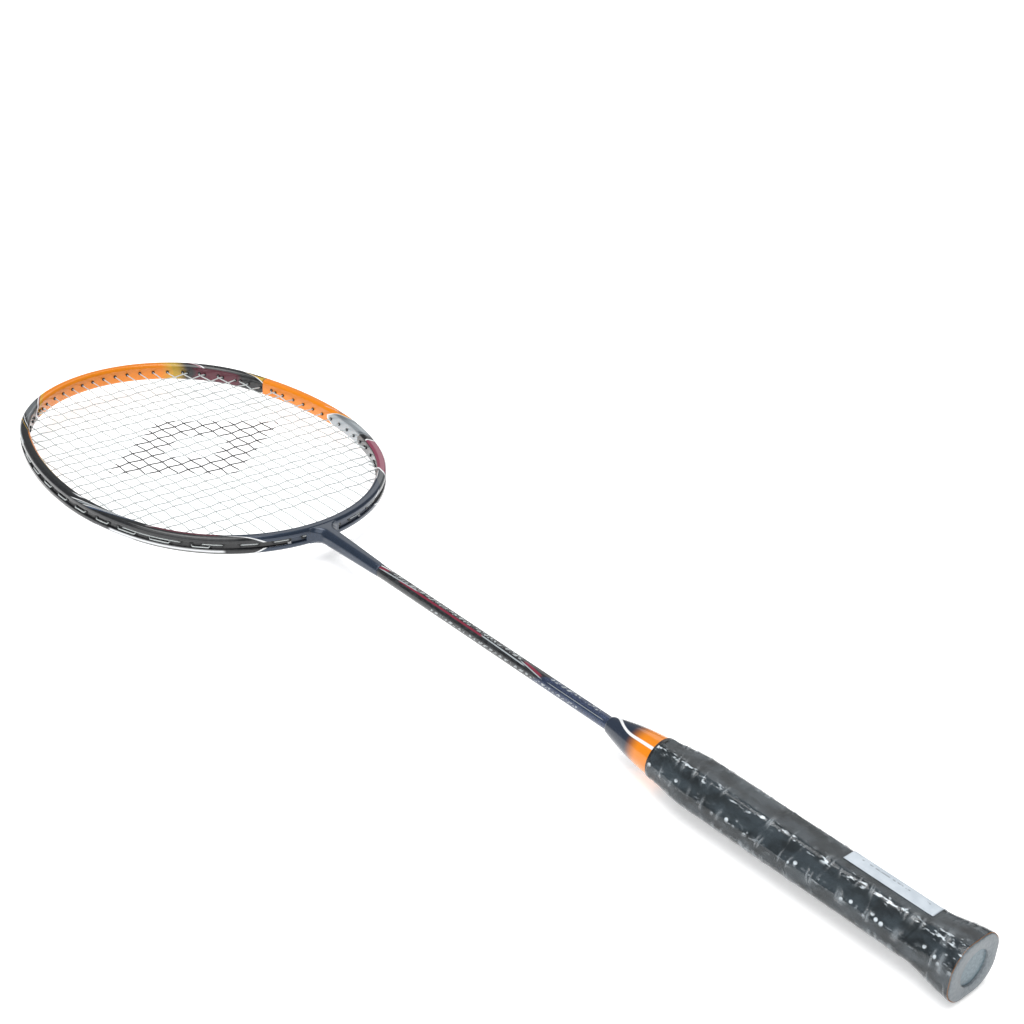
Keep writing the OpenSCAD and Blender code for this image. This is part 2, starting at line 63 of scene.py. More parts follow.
BODY = "root"
MM = 0.001
Value = float | tuple[float, ...] | list[float] | bpy.types.NodeSocket


# ---------- meshes ----------
def unit(vectors: np.ndarray) -> np.ndarray:
    """Vectors of length one along the last axis."""
    return vectors / np.maximum(np.linalg.norm(vectors, axis=-1, keepdims=True), 1e-12)


def smooth(t: np.ndarray) -> np.ndarray:
    """The smooth step 3t² - 2t³, held at 0 and 1 outside its range."""
    c = np.clip(t, 0.0, 1.0)
    return c * c * (3.0 - 2.0 * c)


def soften(corners: np.ndarray, reach: float | np.ndarray, bend: int, side: int) -> np.ndarray:
    """Rounds the corners of a closed outline.

    A corner C is left at A and B, both at a distance reach along its sides, by the
    curve (1 - t)² A + 2t(1 - t) C + t² B, and each side between two curves is cut
    into equal steps.

    Args:
        corners: array of shape (..., corners, 2).
        reach: how far from a corner its rounding begins, in mm, or one value a section.
        bend: points on each rounding.
        side: further points on each straight side.

    Returns:
        An array of shape (..., corners * (bend + side), 2).
    """
    before = corners + reach * unit(np.roll(corners, 1, -2) - corners)
    after = corners + reach * unit(np.roll(corners, -1, -2) - corners)
    t = np.linspace(0.0, 1.0, bend)[:, None]
    curve = ((1 - t) ** 2 * before[..., None, :] + 2 * t * (1 - t) * corners[..., None, :]
             + t ** 2 * after[..., None, :])
    u = (np.arange(1, side + 1) / (side + 1))[:, None]
    straight = after[..., None, :] * (1 - u) + np.roll(before, -1, -2)[..., None, :] * u
    both = np.concatenate([curve, straight], axis=-2)
    return both.reshape(*corners.shape[:-2], -1, 2)


def grid_faces(rows: int, cols: int, ring_rows: bool, ring_cols: bool) -> np.ndarray:
    """Quads of a grid of points: (r, c), (r, c + 1), (r + 1, c + 1) and (r + 1, c).

    Args:
        rows: how many rows of points.
        cols: how many points in a row.
        ring_rows: whether the last row joins the first.
        ring_cols: whether the last column joins the first.

    Returns:
        The points' numbers, an array of shape (quads, 4).
    """
    r = np.arange(rows if ring_rows else rows - 1)[:, None]
    c = np.arange(cols if ring_cols else cols - 1)[None, :]
    r1, c1 = (r + 1) % rows, (c + 1) % cols
    quads = np.stack(np.broadcast_arrays(r * cols + c, r * cols + c1, r1 * cols + c1, r1 * cols + c), -1)
    return quads.reshape(-1, 4)


def surface(name: str, points: np.ndarray, *, ring_rows: bool = False, ring_cols: bool = True,
            caps: bool = False, marks: dict[str, np.ndarray] | None = None) -> bpy.types.Object:
    """Makes one smooth mesh from a grid of points.

    Args:
        name: name of the piece.
        points: array of shape (rows, columns, 3), in mm.
        ring_rows: whether the last row joins the first.
        ring_cols: whether the last column joins the first.
        caps: whether the first and last rows are closed by a fan round their middle.
        marks: numbers kept on the points for the material to read, each (rows, columns).

    Returns:
        The new object, at the origin and with its faces outwards.
    """
    rows, cols = points.shape[:2]
    verts = points.reshape(-1, 3)
    quads = grid_faces(rows, cols, ring_rows, ring_cols)
    tris = np.concatenate([quads[:, [0, 1, 2]], quads[:, [0, 2, 3]]])
    marks = {key: np.broadcast_to(value, (rows, cols)).reshape(-1) for key, value in (marks or {}).items()}
    if caps:
        edge = np.arange(cols)
        ahead = (edge + 1) % cols
        first, last = len(verts), len(verts) + 1
        verts = np.concatenate([verts, points[:1].mean(axis=1), points[-1:].mean(axis=1)])
        tris = np.concatenate([tris, np.stack([ahead, edge, np.full(cols, first)], -1),
                               np.stack([edge + (rows - 1) * cols, ahead + (rows - 1) * cols,
                                         np.full(cols, last)], -1)])
        marks = {key: np.concatenate([value, value[:1], value[-1:]]) for key, value in marks.items()}
    a, b, c = (verts[tris[:, k]] for k in range(3))
    if np.einsum("ij,ij->", a, np.cross(b, c)) < 0:
        tris = tris[:, ::-1]
    mesh = bpy.data.meshes.new(name)
    mesh.vertices.add(len(verts))
    mesh.vertices.foreach_set("co", (verts * MM).astype(np.float32).ravel())
    mesh.loops.add(tris.size)
    mesh.loops.foreach_set("vertex_index", tris.astype(np.int32).ravel())
    mesh.polygons.add(len(tris))
    mesh.polygons.foreach_set("loop_start", np.arange(0, tris.size, 3, dtype=np.int32))
    mesh.update(calc_edges=True)
    mesh.polygons.foreach_set("use_smooth", np.ones(len(tris), bool))
    for key, value in marks.items():
        mesh.attributes.new(key, "FLOAT", "POINT").data.foreach_set("value", value.astype(np.float32))
    mesh.validate()
    piece = bpy.data.objects.new(name, mesh)
    bpy.context.scene.collection.objects.link(piece)
    return piece


def tube(path: np.ndarray, radius: float, sides: int) -> np.ndarray:
    """Points of a round tube along a path that nowhere runs along Z.

    Each ring is path + radius (cos a S + sin a U), where S is the path's direction
    crossed with Z and U is S crossed with the direction.

    Args:
        path: middle line, an array of shape (points, 3), in mm.
        radius: radius of the tube.
        sides: points round each ring.

    Returns:
        An array of shape (points, sides, 3).
    """
    along = unit(np.gradient(path, axis=0))
    across = unit(np.cross(along, [0.0, 0.0, 1.0]))
    up = np.cross(across, along)
    a = (2 * np.pi * np.arange(sides) / sides)[None, :, None]
    return path[:, None] + radius * (np.cos(a) * across[:, None] + np.sin(a) * up[:, None])


# ---------- materials ----------
def linear(code: str) -> tuple[float, float, float, float]:
    """Turns an sRGB hex colour to linear light.

    Args:
        code: the colour as "#RRGGBB".

    Returns:
        Red, green, blue and an alpha of 1.
    """
    parts = [int(code[i:i + 2], 16) / 255 for i in (1, 3, 5)]
    r, g, b = (p / 12.92 if p <= 0.04045 else ((p + 0.055) / 1.055) ** 2.4 for p in parts)
    return r, g, b, 1.0


class Kind(Enum):
    """Kinds of node, each with its settings and the output that is used, if not the first."""

    ADD = ("Math", {"operation": "ADD"}, "")
    SUBTRACT = ("Math", {"operation": "SUBTRACT"}, "")
    MULTIPLY = ("Math", {"operation": "MULTIPLY"}, "")
    DIVIDE = ("Math", {"operation": "DIVIDE"}, "")
    POWER = ("Math", {"operation": "POWER"}, "")
    MAXIMUM = ("Math", {"operation": "MAXIMUM"}, "")
    MINIMUM = ("Math", {"operation": "MINIMUM"}, "")
    ABSOLUTE = ("Math", {"operation": "ABSOLUTE"}, "")
    FRACT = ("Math", {"operation": "FRACT"}, "")
    WRAP = ("Math", {"operation": "WRAP"}, "")
    # a smooth rise from 0 to 1 between two values, or a fall if the second is the lower
    STEP = ("MapRange", {"interpolation_type": "SMOOTHSTEP"}, "")
    RANGE = ("MapRange", {}, "")
    MIX = ("Mix", {"data_type": "RGBA"}, "")
    PLACE = ("TexCoord", {}, "Object")
    SPLIT = ("SeparateXYZ", {}, "")
    MAPPING = ("Mapping", {}, "")
    NOISE = ("TexNoise", {}, "")
    CELLS = ("TexVoronoi", {"feature": "F1"}, "")
    SMOOTH_CELLS = ("TexVoronoi", {"feature": "SMOOTH_F1"}, "")
    BUMP = ("Bump", {}, "")
    CAMERA_RAY = ("LightPath", {}, "Is Camera Ray")
    # numbers kept on the points of a mesh
    ALONG = ("Attribute", {"attribute_name": "along"}, "Fac")
    AROUND = ("Attribute", {"attribute_name": "around"}, "Fac")
    ACROSS = ("Attribute", {"attribute_name": "across"}, "Fac")
    BACK = ("Attribute", {"attribute_name": "back"}, "Fac")
    TURN = ("Attribute", {"attribute_name": "turn"}, "Fac")
    SEAM = ("Attribute", {"attribute_name": "seam"}, "Fac")
    CREASE = ("Attribute", {"attribute_name": "crease"}, "Fac")
    # where the film carries painted highlights: a lace along one edge and specks along two corners
    HIGHLIGHT_LACE = ("Attribute", {"attribute_name": "highlight_lace"}, "Fac")
    GLINT_SPECKS = ("Attribute", {"attribute_name": "glint_specks"}, "Fac")


class Graph:
    """The nodes of a material or of the sky, around its shader."""

    def __init__(self, owner: bpy.types.Material | bpy.types.World) -> None:
        """Starts the nodes round the shader that a new owner comes with.

        Args:
            owner: the material or sky.
        """
        self.owner = owner
        self.owner.use_nodes = True
        self.tree = owner.node_tree
        self.shader = next(node for node in self.tree.nodes if node.outputs)

    def fill(self, socket: bpy.types.NodeSocket, value: Value) -> None:
        """Links an input to another node's output, or sets it to a constant.

        Args:
            socket: the input.
            value: the output or the constant.
        """
        if isinstance(value, bpy.types.NodeSocket):
            self.tree.links.new(value, socket)
        else:
            socket.default_value = value

    def add(self, kind: Kind, *values: Value, **named: Value) -> bpy.types.NodeSocket:
        """Adds a node with its settings and links.

        Args:
            kind: the kind of node.
            values: what its inputs are given, in their order.
            named: inputs given by name instead, with underscores for spaces.

        Returns:
            The output that the kind names, or the first that is switched on.
        """
        type_name, settings, wanted = kind.value
        node = self.tree.nodes.new("ShaderNode" + type_name)
        for key, value in settings.items():
            setattr(node, key, value)
        open_inputs = [socket for socket in node.inputs if socket.enabled]
        for socket, value in zip(open_inputs, values):
            self.fill(socket, value)
        for key, value in named.items():
            self.fill(node.inputs[key.replace("_", " ")], value)
        return next(out for out in node.outputs if (out.name == wanted if wanted else out.enabled))

    def set(self, **named: Value) -> None:
        """Sets or links the shader's inputs by name, with underscores for spaces."""
        for key, value in named.items():
            self.fill(self.shader.inputs[key.replace("_", " ")], value)

    def between(self, value: Value, low: float, high: float, edge: float) -> bpy.types.NodeSocket:
        """A mask of one range of a value: a rising step times a falling one.

        Args:
            value: the number that is looked at.
            low: where the range starts.
            high: where it ends.
            edge: how far each end is blurred to either side.

        Returns:
            The mask, 1 inside the range and 0 outside.
        """
        rise = self.add(Kind.STEP, value, low - edge, low + edge)
        fall = self.add(Kind.STEP, value, high + edge, high - edge)
        return self.add(Kind.MULTIPLY, rise, fall)

    def grain(self, size_mm: float, stretch: tuple[float, float, float] = (1, 1, 1),
              detail: float = 3.0) -> bpy.types.NodeSocket:
        """Noise laid on the object at a real size.

        Args:
            size_mm: size of a grain, in mm.
            stretch: how many times longer it is along each axis.
            detail: how many finer layers it has.

        Returns:
            A number that varies about 0.5.
        """
        scaled = self.add(Kind.MAPPING, Vector=self.add(Kind.PLACE), Scale=[1 / s for s in stretch])
        return self.add(Kind.NOISE, Vector=scaled, Scale=1 / (size_mm * MM), Detail=detail)


class Hue(Enum):
    """Colours of the racket's paints and pieces, as sRGB hex."""

    ORANGE = "#EC8604"
    GOLD = "#C9A227"
    CARBON = "#1B1C1F"
    SLATE = "#50555B"
    MAROON = "#5A1A2C"
    ROSE = "#8A3F55"
    WHITE = "#EEF0F2"
    SILVER = "#A9B0B4"
    NAVY = "#2B3646"
    STEEL_BLUE = "#4D5F7C"
    CRIMSON = "#7C2439"

    @property
    def rgba(self) -> tuple[float, float, float, float]:
        """The colour in linear light."""
        return linear(self.value)


class Side(Enum):
    """A stretch round the rim's section: 0 is the outer wall, 0.5 a face, 1 the inner wall."""

    ALL = (-1.0, 2.0)
    OUTER = (-1.0, 0.24)
    OUTER_LINE = (0.13, 0.19)
    OUTER_EDGE = (0.20, 0.27)
    FACE = (0.24, 0.76)
    FACE_OUT = (0.24, 0.50)
    FACE_IN = (0.50, 0.79)
    NOT_OUTER = (0.24, 2.0)
    INNER = (0.78, 2.0)
    INNER_EDGE = (0.67, 0.80)
    INNER_LINE = (0.66, 0.71)
    FACE_AND_OUTER = (-1.0, 0.66)


@dataclass(frozen=True)
class Stripe:
    """A patch of paint on the rim.

    It runs from start to end, both in mm from the tip and negative on the left, and
    each end leans by so many mm from the outer wall to the inner one.
    """

    start: float
    end: float
    hue: Hue
    side: Side = Side.ALL
    lean: float = 0.0
    lean_end: float | None = None
    edge: float = 0.5
    cover: float = 1.0
    back_only: bool = False


@dataclass(frozen=True)
class RimPaint:
    """Lacquered carbon: glossy paint in slanted patches with thin light lines.

    The lacquer gives sharp reflections over the colours, and the navy has metal
    flakes in it, which give it a soft silvery sheen. One grey patch on the face left of the tip is a painted
    reflection.
    """

    half_length: float
    peel_mm: float = 2.6
    peel_depth: float = 0.02
    patches: tuple[Stripe, ...] = (
        # the tip
        Stripe(-47, 46, Hue.ORANGE, lean=-24, lean_end=6, edge=0.3),
        Stripe(42, 52, Hue.GOLD, Side.NOT_OUTER, lean=6, edge=4.0, cover=0.85),
        Stripe(-48, -43, Hue.GOLD, lean=-24, edge=1.5, cover=0.7),
        # right side, from the tip down
        Stripe(58, 88, Hue.MAROON, Side.INNER, lean=10, edge=2.5),
        Stripe(59.2, 60.8, Hue.ROSE, Side.FACE, lean=22, edge=0.5),
        Stripe(61.2, 62.6, Hue.WHITE, Side.FACE, lean=22, edge=0.3),
        Stripe(98, 109, Hue.GOLD, Side.NOT_OUTER, lean=38, lean_end=0, edge=0.4),
        Stripe(102, 109, Hue.CARBON, Side.FACE_OUT, lean=60, lean_end=30, edge=0.4),
        Stripe(96.9, 98.3, Hue.WHITE, Side.NOT_OUTER, lean=38, edge=0.25),
        Stripe(108.6, 109.8, Hue.WHITE, Side.FACE_IN, lean=30, edge=0.25),
        Stripe(109.5, 181, Hue.ORANGE, lean=0, lean_end=-35, edge=0.3),
        Stripe(170, 175, Hue.CARBON, Side.FACE_OUT, lean=-50, lean_end=-20, edge=0.4),
        Stripe(169.4, 170.4, Hue.WHITE, Side.FACE_AND_OUTER, lean=-50, edge=0.25),
        Stripe(178, 181, Hue.GOLD, Side.FACE_AND_OUTER, lean=-35, edge=1.5, cover=0.8),
        Stripe(181, 208, Hue.SILVER, lean=-35, lean_end=-18, edge=0.5),
        Stripe(181, 190, Hue.SLATE, Side.FACE, lean=-35, lean_end=-30, edge=3.0, cover=0.5),
        Stripe(180.4, 181.8, Hue.WHITE, lean=-35, edge=0.25),
        Stripe(204, 208, Hue.SLATE, Side.FACE, lean=-18, edge=1.5, cover=0.7),
        Stripe(213.4, 214.8, Hue.WHITE, Side.FACE, lean=-10, edge=0.3),
        Stripe(214.8, 252, Hue.ROSE, Side.FACE, lean=-10, lean_end=-16, edge=0.4),
        Stripe(216, 252, Hue.SILVER, Side.OUTER_EDGE, lean=0, edge=2.0, cover=0.8),
        Stripe(250.8, 252.4, Hue.WHITE, Side.FACE, lean=-16, edge=0.25),
        Stripe(253, 268, Hue.SLATE, Side.FACE, lean=-16, lean_end=-20, edge=1.0, cover=0.6),
        Stripe(252, 279, Hue.WHITE, Side.INNER_LINE, edge=2.0, cover=0.9),
        Stripe(265, 330, Hue.NAVY, lean=-20, edge=1.0),
        Stripe(259, 260.4, Hue.WHITE, Side.OUTER, lean=-50, edge=0.25),
        # left side, from the tip down
        # painted reflection: a soft silvery grey laid over the face just left of the tip
        Stripe(-72, -52, Hue.SILVER, Side.FACE, lean=-30, lean_end=-24, edge=3.0, cover=0.35),
        Stripe(-50.4, -48.6, Hue.WHITE, lean=-24, edge=0.3),
        Stripe(-48.6, -47.2, Hue.ROSE, lean=-24, edge=0.3),
        Stripe(-78, -76.6, Hue.WHITE, Side.NOT_OUTER, lean=-37, edge=0.25),
        Stripe(-83, -82, Hue.GOLD, Side.NOT_OUTER, lean=-37, edge=0.25),
        Stripe(-74, -73, Hue.SILVER, Side.FACE_AND_OUTER, lean=46, edge=0.25),
        Stripe(-104, -80, Hue.SILVER, Side.OUTER_EDGE, edge=2.0, cover=0.85),
        Stripe(-128, -92, Hue.ORANGE, Side.INNER_EDGE, edge=3.0),
        Stripe(-154, -126, Hue.GOLD, Side.INNER_EDGE, edge=3.0, cover=0.8),
        Stripe(-150, -110, Hue.ORANGE, Side.INNER, edge=4.0, cover=0.9),
        Stripe(-179, -172, Hue.WHITE, Side.FACE_IN, lean=-30, lean_end=-60, edge=0.4),
        Stripe(-203, -196, Hue.SILVER, Side.FACE, lean=-77, lean_end=-60, edge=0.6),
        Stripe(-197.4, -195.0, Hue.WHITE, Side.FACE, lean=-77, edge=0.25),
        Stripe(-206, -204.2, Hue.WHITE, Side.FACE, lean=-72, edge=0.25),
        Stripe(-212, -208, Hue.STEEL_BLUE, Side.FACE, lean=-77, edge=1.0, cover=0.7),
        Stripe(-268, -227, Hue.MAROON, Side.FACE_IN, lean=20, lean_end=-30, edge=0.5),
        Stripe(-268, -228, Hue.MAROON, Side.INNER, edge=2.0),
        Stripe(-228.6, -227.4, Hue.WHITE, Side.FACE_IN, lean=-30, edge=0.25),
        Stripe(-270, -206, Hue.WHITE, Side.OUTER_LINE, edge=1.2, cover=0.95, back_only=True),
        Stripe(-222, -196, Hue.WHITE, Side.OUTER_EDGE, edge=1.2, cover=0.8, back_only=True),
        Stripe(-330, -275, Hue.NAVY, lean=42, edge=0.6),
        Stripe(-275, -273.2, Hue.WHITE, Side.FACE_AND_OUTER, lean=42, edge=0.25),
    )

    def build(self) -> bpy.types.Material:
        """Lays the patches over dark carbon, one after another.

        Returns:
            The material.
        """
        g = Graph(bpy.data.materials.new("lacquered_carbon_paint"))
        along, around = g.add(Kind.ALONG), g.add(Kind.AROUND)
        # carbon cloth under the lacquer: a fine grain that only just shows
        grain = g.grain(1.2, (1, 1, 1))
        colour = g.add(Kind.MIX, g.add(Kind.STEP, grain, 0.35, 0.7), linear("#141517"), linear("#232528"))
        middle = g.add(Kind.SUBTRACT, around, 0.5)
        metal = 0.0
        for patch in self.patches:
            last_lean = patch.lean if patch.lean_end is None else patch.lean_end
            first = g.add(Kind.SUBTRACT, along, g.add(Kind.MULTIPLY, middle, patch.lean))
            last = g.add(Kind.SUBTRACT, along, g.add(Kind.MULTIPLY, middle, last_lean))
            rise = g.add(Kind.STEP, first, patch.start - patch.edge, patch.start + patch.edge)
            fall = g.add(Kind.STEP, last, patch.end + patch.edge, patch.end - patch.edge)
            mask = g.add(Kind.MULTIPLY, rise, fall)
            low, high = patch.side.value
            if patch.side is not Side.ALL:
                mask = g.add(Kind.MULTIPLY, mask, g.between(around, low, high, 0.02))
            if patch.back_only:
                mask = g.add(Kind.MULTIPLY, mask, g.add(Kind.BACK))
            if patch.cover < 1:
                mask = g.add(Kind.MULTIPLY, mask, patch.cover)
            colour = g.add(Kind.MIX, mask, colour, patch.hue.rgba)
            if patch.hue in (Hue.NAVY, Hue.SILVER):
                metal = g.add(Kind.MAXIMUM, metal, mask)
        flakes = g.grain(0.35, detail=2.0)
        shade = g.add(Kind.MULTIPLY, metal, g.add(Kind.STEP, flakes, 0.45, 0.75))
        colour = g.add(Kind.MIX, g.add(Kind.MULTIPLY, shade, 0.35), colour, Hue.STEEL_BLUE.rgba)
        g.set(Base_Color=colour, Metallic=g.add(Kind.MULTIPLY, metal, 0.45), Roughness=0.34,
              Coat_Weight=0.8, Coat_Roughness=0.06, Specular_IOR_Level=0.25)
        # the skin of a sprayed lacquer is never quite flat
        skin = g.grain(self.peel_mm, detail=1.0)
        g.set(Normal=g.add(Kind.BUMP, Height=skin, Distance=self.peel_depth * MM))
        return g.owner


@dataclass(frozen=True)
class ShaftPaint:
    """Lacquered carbon tube: bare carbon with a crimson line, then metallic blue."""

    taper_start: float
    peel_mm: float = 2.6
    peel_depth: float = 0.015
    blue_from: float = 253.0
    blue_below: float = 250.0

    def build(self) -> bpy.types.Material:
        """Mixes the colours by the height on the shaft and the turn round it.

        Returns:
            The material.
        """
        g = Graph(bpy.data.materials.new("lacquered_shaft_paint"))
        along, turn = g.add(Kind.ALONG), g.add(Kind.TURN)
        leaning = g.add(Kind.ADD, along, g.add(Kind.MULTIPLY, turn, 0.09))
        grain = g.grain(0.9, (1, 3, 1))
        carbon = g.add(Kind.MIX, g.add(Kind.STEP, grain, 0.35, 0.7), linear("#1A1B1D"), linear("#34373A"))
        flakes = g.add(Kind.STEP, g.grain(0.4), 0.45, 0.75)
        navy = g.add(Kind.MIX, flakes, linear("#2D374B"), linear("#56658A"))
        colour = g.add(Kind.MIX, g.add(Kind.STEP, leaning, self.blue_from, self.blue_below), carbon, navy)
        lines = (  # first and last height, middle turn, half width, lean in degrees a mm, colour
            (300.0, 366.0, -30.0, 9.0, 0.03, Hue.CRIMSON),
            (268.0, 300.0, -34.0, 5.0, 0.35, Hue.SILVER),
            (352.0, 385.0, -26.0, 4.5, -0.55, Hue.SILVER),
            (256.0, 269.0, -22.0, 12.0, 2.2, Hue.CRIMSON),
            (255.0, 271.0, -38.0, 4.0, 1.9, Hue.SILVER),
            (376.0, 386.0, -22.0, 11.0, -2.6, Hue.CRIMSON),
            (374.0, 390.0, -2.0, 5.0, -2.4, Hue.WHITE),
            (212.0, 250.0, -50.0, 3.0, 0.0, Hue.SILVER),
            (212.0, 240.0, -66.0, 2.0, 0.0, Hue.STEEL_BLUE),
        )
        for back in (0.0, 180.0):
            for first, last, middle, half, lean, hue in lines:
                centre = (first + last) / 2
                shift = g.add(Kind.MULTIPLY, g.add(Kind.SUBTRACT, along, centre), lean)
                off = g.add(Kind.SUBTRACT, g.add(Kind.SUBTRACT, turn, middle + back), shift)
                off = g.add(Kind.ABSOLUTE, g.add(Kind.WRAP, off, 180.0, -180.0))
                mask = g.add(Kind.MULTIPLY, g.add(Kind.STEP, off, half + 1.5, half - 1.5),
                              g.between(along, first, last, 1.5))
                colour = g.add(Kind.MIX, mask, colour, hue.rgba)
        # plain ticks in rows, worn like printed ones
        worn = g.add(Kind.STEP, g.grain(1.4, (1, 1, 1), detail=2.0), 0.46, 0.54)
        tick_rows = (  # first and last height, first and last turn
            (272.0, 372.0, -16.0, 22.0),
            (216.0, 250.0, -14.0, 18.0),
            (228.0, 338.0, -100.0, -80.0),
        )
        for low, high, first, last in tick_rows:
            rows = g.add(Kind.MULTIPLY, g.between(along, low, high, 0.5), g.between(turn, first, last, 3.0))
            slots = g.add(Kind.STEP, g.add(Kind.FRACT, g.add(Kind.MULTIPLY, leaning, 0.26)), 0.30, 0.45)
            ticks = g.add(Kind.MULTIPLY, g.add(Kind.MULTIPLY, rows, slots), worn)
            colour = g.add(Kind.MIX, g.add(Kind.MULTIPLY, ticks, 0.85), colour, linear("#B4BABC"))
        top = g.add(Kind.STEP, along, self.taper_start - 6, self.taper_start - 4)
        colour = g.add(Kind.MIX, top, colour, Hue.NAVY.rgba)
        blue = g.add(Kind.MAXIMUM, g.add(Kind.STEP, leaning, self.blue_from, self.blue_below), top)
        g.set(Base_Color=colour, Metallic=g.add(Kind.MULTIPLY, blue, 0.45), Roughness=0.32,
              Coat_Weight=0.8, Coat_Roughness=0.06, Specular_IOR_Level=0.25)
        skin = g.grain(self.peel_mm, detail=1.0)
        g.set(Normal=g.add(Kind.BUMP, Height=skin, Distance=self.peel_depth * MM))
        return g.owner


@dataclass(frozen=True)
class ConePaint:
    """Sprayed ABS: navy fading to orange, with a light outline round a pointed panel."""

    fade_start: float = 183.0
    fade_end: float = 193.0
    peel_mm: float = 2.2
    peel_depth: float = 0.02

    def build(self) -> bpy.types.Material:
        """Fades the colours along the cone and draws the swooping outline.

        Returns:
            The material.
        """
        g = Graph(bpy.data.materials.new("sprayed_abs"))
        along, turn = g.add(Kind.ALONG), g.add(Kind.TURN)
        fade = g.add(Kind.STEP, along, self.fade_start, self.fade_end)
        colour = g.add(Kind.MIX, fade, linear("#E8860F"), linear("#252F3F"))
        # the outline's turn: -38 degrees at the grip, sweeping over the top near the shaft
        rise = g.add(Kind.MAXIMUM, g.add(Kind.DIVIDE, g.add(Kind.SUBTRACT, along, 188.0), 21.0), 0.0)
        line = g.add(Kind.ADD, g.add(Kind.MULTIPLY, g.add(Kind.POWER, rise, 2.6), 98.0), -38.0)
        width = g.add(Kind.ADD, g.add(Kind.MULTIPLY, g.add(Kind.POWER, rise, 4.0), 16.0), 4.5)
        for back in (0.0, 180.0):
            off = g.add(Kind.SUBTRACT, g.add(Kind.SUBTRACT, turn, back), line)
            off = g.add(Kind.ABSOLUTE, g.add(Kind.WRAP, off, 180.0, -180.0))
            edge = g.add(Kind.STEP, g.add(Kind.SUBTRACT, off, width), 1.5, -1.5)
            colour = g.add(Kind.MIX, edge, colour, Hue.WHITE.rgba)
        far = g.add(Kind.ABSOLUTE, g.add(Kind.SUBTRACT, turn, 74.0))
        colour = g.add(Kind.MIX, g.add(Kind.STEP, far, 5.5, 3.5), colour, Hue.WHITE.rgba)
        g.set(Base_Color=colour, Roughness=0.3, Coat_Weight=0.7, Coat_Roughness=0.08, Specular_IOR_Level=0.3)
        skin = g.grain(self.peel_mm, detail=1.0)
        g.set(Normal=g.add(Kind.BUMP, Height=skin, Distance=self.peel_depth * MM))
        return g.owner


@dataclass(frozen=True)
class GripLeather:
    """Synthetic leather strip: charcoal, embossed with a fine grain, slightly tacky."""

    pore_mm: float = 1.4
    pore_depth: float = 0.12

    def build(self) -> bpy.types.Material:
        """Adds the embossed grain, paler rubbed spots and the edges of the turns.

        Returns:
            The material.
        """
        g = Graph(bpy.data.materials.new("polyurethane_grip_leather"))
        seam = g.add(Kind.SEAM)
        place = g.add(Kind.PLACE)
        pores = g.add(Kind.SMOOTH_CELLS, Vector=place, Scale=1 / (self.pore_mm * MM))
        patches = g.grain(9.0, (1, 2.2, 1), detail=4.0)
        colour = g.add(Kind.MIX, g.add(Kind.STEP, patches, 0.3, 0.75), linear("#20262A"), linear("#434C50"))
        colour = g.add(Kind.MIX, g.add(Kind.MULTIPLY, seam, 0.6), colour, linear("#1A1D1F"))
        rough = g.add(Kind.RANGE, patches, 0.3, 0.7, 0.42, 0.6)
        g.set(Base_Color=colour, Roughness=rough, Specular_IOR_Level=0.3)
        g.set(Normal=g.add(Kind.BUMP, Height=pores, Distance=self.pore_depth * MM, Strength=0.6))
        return g.owner


@dataclass(frozen=True)
class ClearFilm:
    """Polythene film: clear and glossy, pale where it is creased, partly as its own whitening and partly as
    a painted highlight, with more painted highlights along the corners.
    """

    highlight_lace_mm: float = 1.3
    glint_speck_mm: float = 4.5
    wrinkle_depth: float = 0.22

    def build(self) -> bpy.types.Material:
        """Clear on the flats, with a painted highlight of white lace along one edge and painted highlight
        specks along the next.

        Returns:
            The material.
        """
        g = Graph(bpy.data.materials.new("clear_polythene_film"))
        crease, highlight_lace, glint_specks = g.add(Kind.CREASE), g.add(Kind.HIGHLIGHT_LACE), g.add(Kind.GLINT_SPECKS)
        # painted highlights: a white lace of stretched noise along one edge of the bevel, and white specks
        # in cells along two corners
        fine = g.grain(self.highlight_lace_mm, (1, 3.2, 1), detail=3.0)
        broad = g.grain(7.0, (1, 1.8, 1), detail=4.0)
        gate = g.grain(9.0, (1, 1, 1), detail=1.0)
        highlight_laced = g.add(Kind.MULTIPLY, g.add(Kind.STEP, fine, 0.53, 0.66), g.add(Kind.STEP, gate, 0.34, 0.50))
        place = g.add(Kind.PLACE)
        cells = g.add(Kind.CELLS, Vector=place, Scale=1 / (self.glint_speck_mm * MM))
        glint_specked = g.add(Kind.MULTIPLY, g.add(Kind.STEP, cells, 0.30, 0.16), glint_specks)
        whitening_and_highlight = g.add(Kind.MAXIMUM, g.add(Kind.MULTIPLY, highlight_laced, highlight_lace), glint_specked)
        # the creases are made pale as well, partly as the film's own whitening and partly as a painted
        # highlight
        whitening_and_highlight = g.add(Kind.MAXIMUM, whitening_and_highlight, g.add(Kind.MULTIPLY, crease, 0.35))
        haze = g.add(Kind.RANGE, broad, 0.3, 0.7, 0.40, 0.60)
        cover = g.add(Kind.MINIMUM, g.add(Kind.ADD, haze, g.add(Kind.MULTIPLY, whitening_and_highlight, 0.5)), 0.97)
        # clear film takes the colour of the leather under it; only its creases and the painted highlights
        # are pale
        clear = g.add(Kind.MIX, g.add(Kind.STEP, broad, 0.38, 0.62), linear("#1D2327"), linear("#454F56"))
        g.set(Base_Color=g.add(Kind.MIX, whitening_and_highlight, clear, linear("#D5DEE4")), Alpha=cover, Roughness=0.14,
              Specular_IOR_Level=0.5, Coat_Weight=0.8, Coat_Roughness=0.05)
        wrinkles = g.grain(1.6, (1, 2.0, 1), detail=4.0)
        g.set(Normal=g.add(Kind.BUMP, Height=wrinkles, Distance=self.wrinkle_depth * MM, Strength=0.7))
        return g.owner


